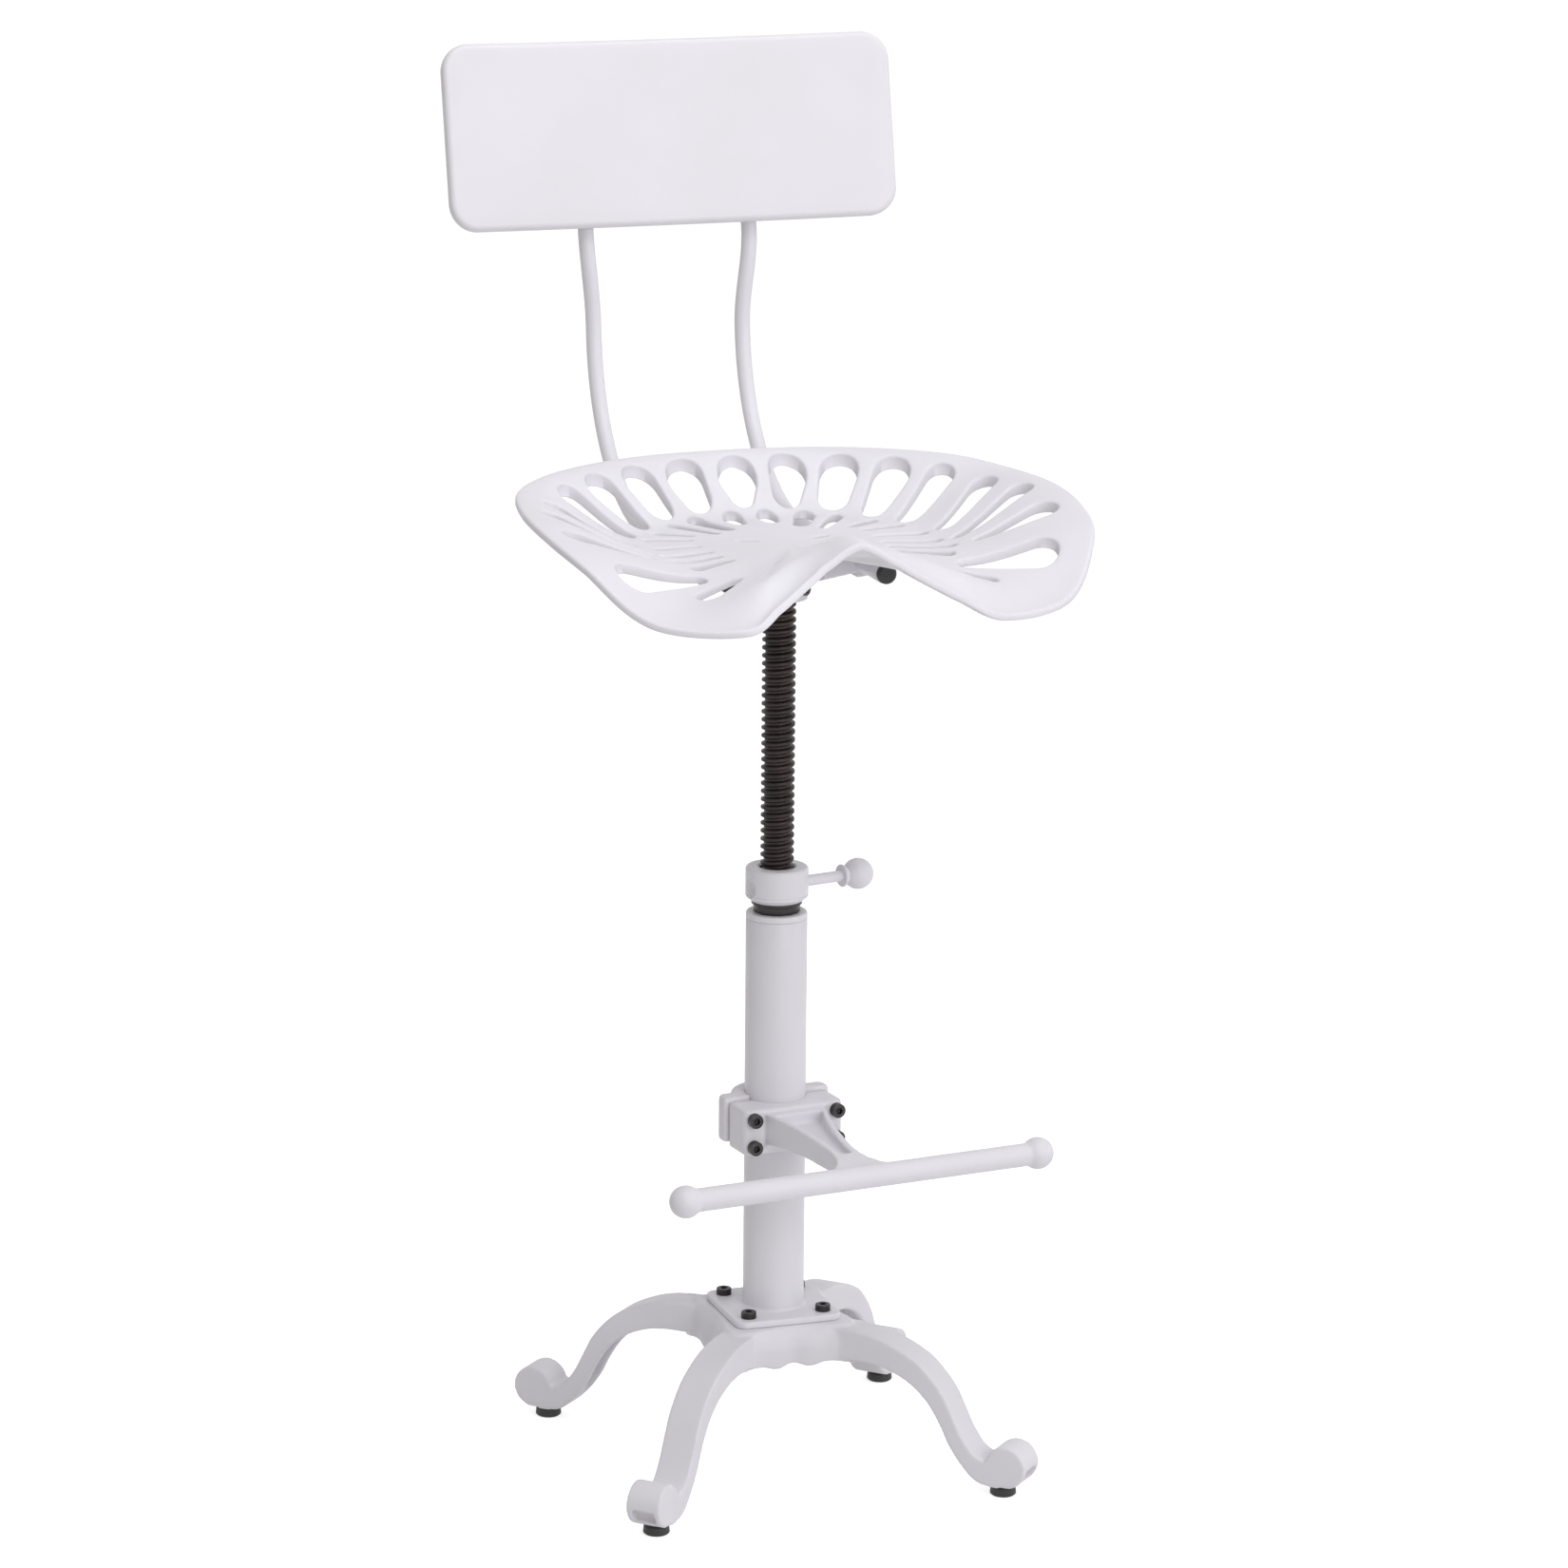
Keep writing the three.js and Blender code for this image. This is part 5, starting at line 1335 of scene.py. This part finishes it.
# Bracket under the seat
def make_bracket():
    """The seat bracket: a boss, a web, ribs and two sleeves, with machined bores."""
    half = sleeve_spacing / 2
    web_bottom = bracket_top - web_thickness
    parts = [
        drum(boss_radius, boss_bottom, bracket_top),
        block(rounded_rectangle(half, web_half_depth, web_corner), web_bottom, bracket_top)]
    tools = [drum(boss_bore, boss_bottom - tool_reach, rod_top + play)]
    for side in (-1, 1):
        sleeve = shifted(side * half, 0, back_tube_height)
        parts.append(drum(sleeve_radius, sleeve_front, sleeve_rear, sleeve @ along_y))
        tools.append(drum(sleeve_radius - sleeve_wall, sleeve_front - tool_reach,
                          sleeve_rear + tool_reach, sleeve @ along_y))
        fin = [(sleeve_front + fin_thickness, 0), (-fin_thickness, -fin_drop),
               (web_half_depth, -fin_drop), (sleeve_rear - fin_thickness, 0)]
        parts.append(block(fin, -fin_thickness / 2, fin_thickness / 2, sleeve @ across_y))
        root = web_bottom - rib_root_drop
        rib = [(0, web_bottom + web_thickness / 2), (side * half, web_bottom + web_thickness / 2),
               (side * half, back_tube_height - sleeve_radius), (side * boss_radius, root), (0, root)]
        for place in (-web_half_depth / 2, web_half_depth / 2):
            parts.append(block(rib, -rib_thickness / 2, rib_thickness / 2, shifted(0, place, 0) @ stood_up))
    for x, y in corners(bolt_spread / 2, bolt_depth / 2):
        pocket = shifted(x, y, web_bottom)
        tools.append(drum(bolt_pocket, -2 * rib_root_drop, 0, pocket, segments=40))
    bracket = cast(parts, bracket_voxel, smoothing=5)
    for tool in tools:
        cut(bracket, tool)
    settled("bracket_cast", "seat", "seat_bracket", cast_coat, bracket, sharp=50)


# Back tubes and their plugs
def tube_path(side):
    """The middle line of a back tube: a level run, a bend, an S and a straight rise."""
    low = side * sleeve_spacing / 2
    high = side * upper_half_spacing
    run = [(low, y, back_tube_height) for y in np.linspace(sleeve_front, bend_start, run_rows)[:-1]]
    centre = (bend_start, back_tube_height + bend_radius)
    bend = [(low, y, z) for y, z in arc(centre, bend_radius, -90, math.degrees(bend_angle) - 90, bend_steps)]
    start = np.array(bend[-1])
    knee = np.array((high, knee_depth, knee_height))
    handle = knee_handle_share * np.linalg.norm(knee - start)
    leaving = start + handle * np.array((0, math.cos(bend_angle), math.sin(bend_angle)))
    arriving = knee - handle * np.array((0, math.sin(panel_recline), math.cos(panel_recline)))
    t = np.linspace(0, 1, swing_rows)[1:, None]
    swing = ((1 - t)**3 * start + 3 * t * (1 - t)**2 * leaving + 3 * t**2 * (1 - t) * arriving
             + t**3 * knee)
    risen = panel_centre_height + tube_reach_share * panel_height - knee_height
    rise = np.linspace(0, risen, rise_rows)[1:, None]
    straight = knee + rise * np.array((0, math.tan(panel_recline), 1))
    return np.vstack([run, bend, swing, straight])


def swept(path, radius):
    """Rings of a tube along a path, with a softly rounded edge at each end."""
    ways = np.gradient(path, axis=0)
    ways /= np.linalg.norm(ways, axis=1, keepdims=True)
    side = np.cross(ways[0], (0, 0, 1.0))
    lip = back_tube_lip
    ends = {0: ((0, radius - lip), (lip, radius)), len(path) - 1: ((-lip, radius), (0, radius - lip))}
    rings = []
    for i, (centre, way) in enumerate(zip(path, ways)):
        side = side - way * (side @ way)
        side /= np.linalg.norm(side)
        other = np.cross(way, side)
        for along, r in ends.get(i, ((0, radius),)):
            rings.append([centre + along * way + r * (math.cos(a) * side + math.sin(a) * other)
                          for a in round_angles(tube_segments)])
    return rings


def make_back_tubes():
    """Two bent tubes and the plugs in their front ends."""
    face = sleeve_front - play
    front = face - plug_thickness
    stem = face + plug_stem_length
    line = rounded([
        (0, front, 0), (plug_radius - 1.8, front, 0.3), (plug_radius, front + 1.4, 1.0),
        (plug_radius, face, 0.3), (plug_stem_radius, face, 0), (plug_stem_radius, stem, 0.6), (0, stem, 0)])
    for side, name in ((-1, "left"), (1, "right")):
        tube = skin(swept(tube_path(side), back_tube_radius))
        piece("bent_tube_" + name, "seat", "back_tube_" + name, steel_coat, tube, sharp=60)
        place = shifted(side * sleeve_spacing / 2, 0, back_tube_height) @ along_y
        piece("plug_" + name, "seat", "tube_plug_" + name, plastic_finish, lathe(line, segments=56), place)


# Backrest panel
def make_panel():
    """The bent board with softly rounded edges and corners."""
    half_width = panel_width / 2 - panel_side_inset
    half_height = panel_height / 2

    def inset_of(plan):
        """The distance from each point to the board's edge."""
        corner = np.abs(plan) - np.array((half_width - panel_corner, half_height - panel_corner))
        outside = np.linalg.norm(np.maximum(corner, 0), axis=1)
        return panel_corner - outside - np.minimum(np.max(corner, axis=1), 0)

    loops = []
    for inset in panel_edge_steps:
        loop = rounded_rectangle(half_width - inset, half_height - inset, panel_corner - inset, steps=14)
        loops.append(divided(loop, panel_spacing))
    columns = np.arange(-half_width, half_width, panel_grid)
    rows = np.arange(-half_height, half_height, panel_grid)
    inner = np.array([(x, z) for x in columns for z in rows])
    inner = inner[inset_of(inner) > panel_edge_steps[-1] + panel_grid_gap]
    plan, faces = planar_mesh(loops, inner, lambda p: inset_of(p) > 0)
    half = panel_thickness / 2 - rounding(np.maximum(inset_of(plan), 0), panel_round)
    middle = np.sqrt(panel_bend_radius**2 - plan[:, 0]**2) - panel_bend_radius
    front, back = (np.column_stack([plan[:, 0], middle + way * half, plan[:, 1]]) for way in (-1, 1))
    piece("panel_board", "seat", "backrest_panel", board_coat, two_sided(front, back, faces),
          panel_place, sharp=60)


# Footrest
def arm_plan(inset):
    """The arm from above: wide at the clamp, a waist, and a flare into the bar."""
    waist = -clamp_front - arm_waist_share * (bar_reach - clamp_front)
    root = arm_root_half - inset
    neck = arm_waist_half - inset * arm_neck_share
    start = -clamp_front - inset if inset > 0 else arm_start
    end = waist - inset if inset > 0 else -bar_reach
    flare = neck if inset > 0 else arm_flare_half
    right = [(root, start)]
    bend = (neck + (root - neck) * arm_root_pull[0], start + (waist - start) * arm_root_pull[1])
    right += quadratic(right[-1], bend, (neck, waist))
    right += quadratic(right[-1], (neck, end + (waist - end) * arm_flare_pull), (flare, end))
    return right + [(-x, y) for x, y in reversed(right)]


def bored_clamp(name, node_name, casting):
    """Bores the column's hole through half of the clamp and finishes it."""
    bore = drum(tube_radius + play, clamp_bottom - tool_reach, clamp_top + tool_reach,
                footrest_place, segments=128)
    settled(name, "footrest", node_name, cast_coat, cut(casting, bore), sharp=50)


def make_footrest():
    """The clamp's front half, the arm with its pocket and the bar, as one casting."""
    corner_x = clamp_half_width - clamp_corner
    corner_y = -clamp_front + clamp_corner
    outline = [(clamp_half_width, clamp_split), (-clamp_half_width, clamp_split)]
    outline += arc((-corner_x, corner_y), clamp_corner, 180, 270, steps=8)
    outline += arc((corner_x, corner_y), clamp_corner, 270, 360, steps=8)
    clamp = block(outline, clamp_bottom, clamp_top, footrest_place, clamp_edge)
    tall = (clamp_bottom - clamp_height, clamp_bottom + 3 * clamp_height)
    wide = 2 * arm_flare_half
    across = footrest_place @ across_y
    top = clamp_top - arm_top_drop
    under = clamp_bottom + arm_under_rise
    end = bar_radius * arm_end_share
    shoulder = -clamp_front - arm_top_drop
    side = [(arm_start, clamp_bottom), (arm_start, top), (shoulder, top),
            (-bar_reach, bar_height + end), (-bar_reach, bar_height - end),
            (-clamp_front - (bar_reach - clamp_front) / 3, under), (shoulder, under)]
    floor = [(arm_start, top - arm_pocket_depth), (arm_start, top + clamp_height),
             (-bar_reach, top + clamp_height), (-bar_reach, bar_height + end - arm_pocket_depth / 2)]
    arm, pocket = (
        cut(block(arm_plan(wall), *tall, footrest_place), block(shape, -wide, wide, across), "INTERSECT")
        for wall, shape in ((0, side), (arm_pocket_wall, floor)))
    bar_line = footrest_place @ shifted(0, -bar_reach, bar_height) @ about(quarter, "Y")
    bar = drum(bar_radius, -bar_half_length, bar_half_length, bar_line)
    balls = [solid(lathe(arc((0, y), bar_ball_radius, -90, 90, steps=32), segments=64), bar_line)
             for y in (-bar_half_length, bar_half_length)]
    parts = [clamp, cut(arm, pocket), bar, *balls]
    bored_clamp("footrest_cast", "footrest_casting", cast(parts, footrest_voxel, smoothing=7))


def make_clamp_rear():
    """The clamp's rear half: a flange and a round saddle behind the column."""
    corner_x = rear_half_width - rear_corner
    corner_y = rear_front + rear_flange - rear_corner
    bottom = clamp_bottom + rear_lift
    top = clamp_top + rear_lift
    outline = [(-rear_half_width, rear_front), (rear_half_width, rear_front)]
    outline += arc((corner_x, corner_y), rear_corner, 0, 90, steps=8)
    outline += arc((-corner_x, corner_y), rear_corner, 90, 180, steps=8)
    flange = block(outline, bottom, top, footrest_place, clamp_edge)
    line = rounded([(0, bottom, 0), (rear_saddle_radius, bottom, clamp_edge),
                    (rear_saddle_radius, top, clamp_edge), (0, top, 0)])
    reach = 2 * rear_half_width
    behind = block(rectangle(-reach, rear_front, reach, rear_front + reach), bottom - tool_reach,
                   top + tool_reach, footrest_place)
    saddle = cut(solid(lathe(line)), behind, "INTERSECT")
    bored_clamp("clamp_rear_cast", "clamp_rear", cast([flange, saddle], footrest_voxel, smoothing=6))


# Screws
def make_screw(name, body, node_name, size, matrix):
    """A socket head screw: a knurled head with a soft edge, a hex socket and a shank."""
    head, height, shank, length, socket = size
    angles = round_angles(screw_segments)
    knurl = 1 - knurl_depth * (np.arange(screw_segments) % 3 == 0)
    hexagon = math.cos(math.pi / 6) / np.cos(np.mod(angles, math.pi / 3) - math.pi / 6)
    edge = screw_edge_share * height
    # radius and height of each ring, from the shank's end to the bottom of the socket
    levels = [
        (shank - 0.4, -length), (shank, -length + 0.4), (shank, 0), (head - 0.3, 0), (head, 0.3),
        (head * knurl, 0.5), (head * knurl, height - edge - 0.3), (head, height - edge),
        (head - 0.3 * edge, height - 0.3 * edge), (head - edge, height), (1.12 * socket, height),
        (socket * hexagon, 0.92 * height), (socket * hexagon, 0.42 * height),
        (0.3 * socket, 0.3 * height)]
    rings = [circle(radius, z, angles) for radius, z in levels]
    piece(name, body, node_name, screw_finish, skin(rings), matrix, sharp=35)


def make_screws():
    """Every visible screw and bolt."""
    web_bottom = bracket_top - web_thickness
    middle = clamp_bottom + clamp_height / 2
    behind_tube = tube_depth_at_panel + back_tube_radius + play
    boss_face = shifted(0, 0, boss_radius + play)
    rows = (
        ("plate_screw", "column_base", "flange_screw", plate_screw,
         [shifted(x, y, plate_top) for x, y in corners(plate_screw_offset, plate_screw_offset)]),
        ("clamp_bolt", "footrest", "clamp_screw", clamp_screw,
         [footrest_place @ shifted(x, -clamp_front - play, middle + z) @ stood_up
          for x, z in corners(clamp_screw_spread / 2, clamp_screw_pitch / 2)]),
        ("bracket_bolt", "seat", "seat_bolt", seat_bolt,
         [shifted(x, y, web_bottom) @ upside_down for x, y in corners(bolt_spread / 2, bolt_depth / 2)]),
        ("boss_bolt", "seat", "boss_screw", boss_screw,
         [pointing(azimuth, boss_bottom + boss_screw_lift) @ boss_face
          for azimuth in boss_screw_azimuths]),
        ("panel_screw", "seat", "back_screw", panel_screw,
         [panel_place @ shifted(x, behind_tube, z) @ along_y
          for x, z in corners(upper_half_spacing, panel_screw_pitch / 2)]))
    for name, body, node_name, size, places in rows:
        for i, place in enumerate(places):
            make_screw(f"{name}_{i + 1}", body, f"{node_name}_{i + 1}", size, place)


# The whole scene
make_camera()
make_world()
for lamp_row in lamps:
    make_lamp(*lamp_row)
make_floor()
make_seat()
make_base()
make_plate()
make_column()
make_top_ring()
make_bush()
make_collar()
make_handle()
make_rod()
make_rod_foot()
make_bracket()
make_back_tubes()
make_panel()
make_footrest()
make_clamp_rear()
make_glides()
make_screws()


# The model's bounds as plain lists, and the colour view transform
cad_box = [list(map(float, corner)) for corner in cad_box]
bpy.context.scene.view_settings.view_transform = "Standard"
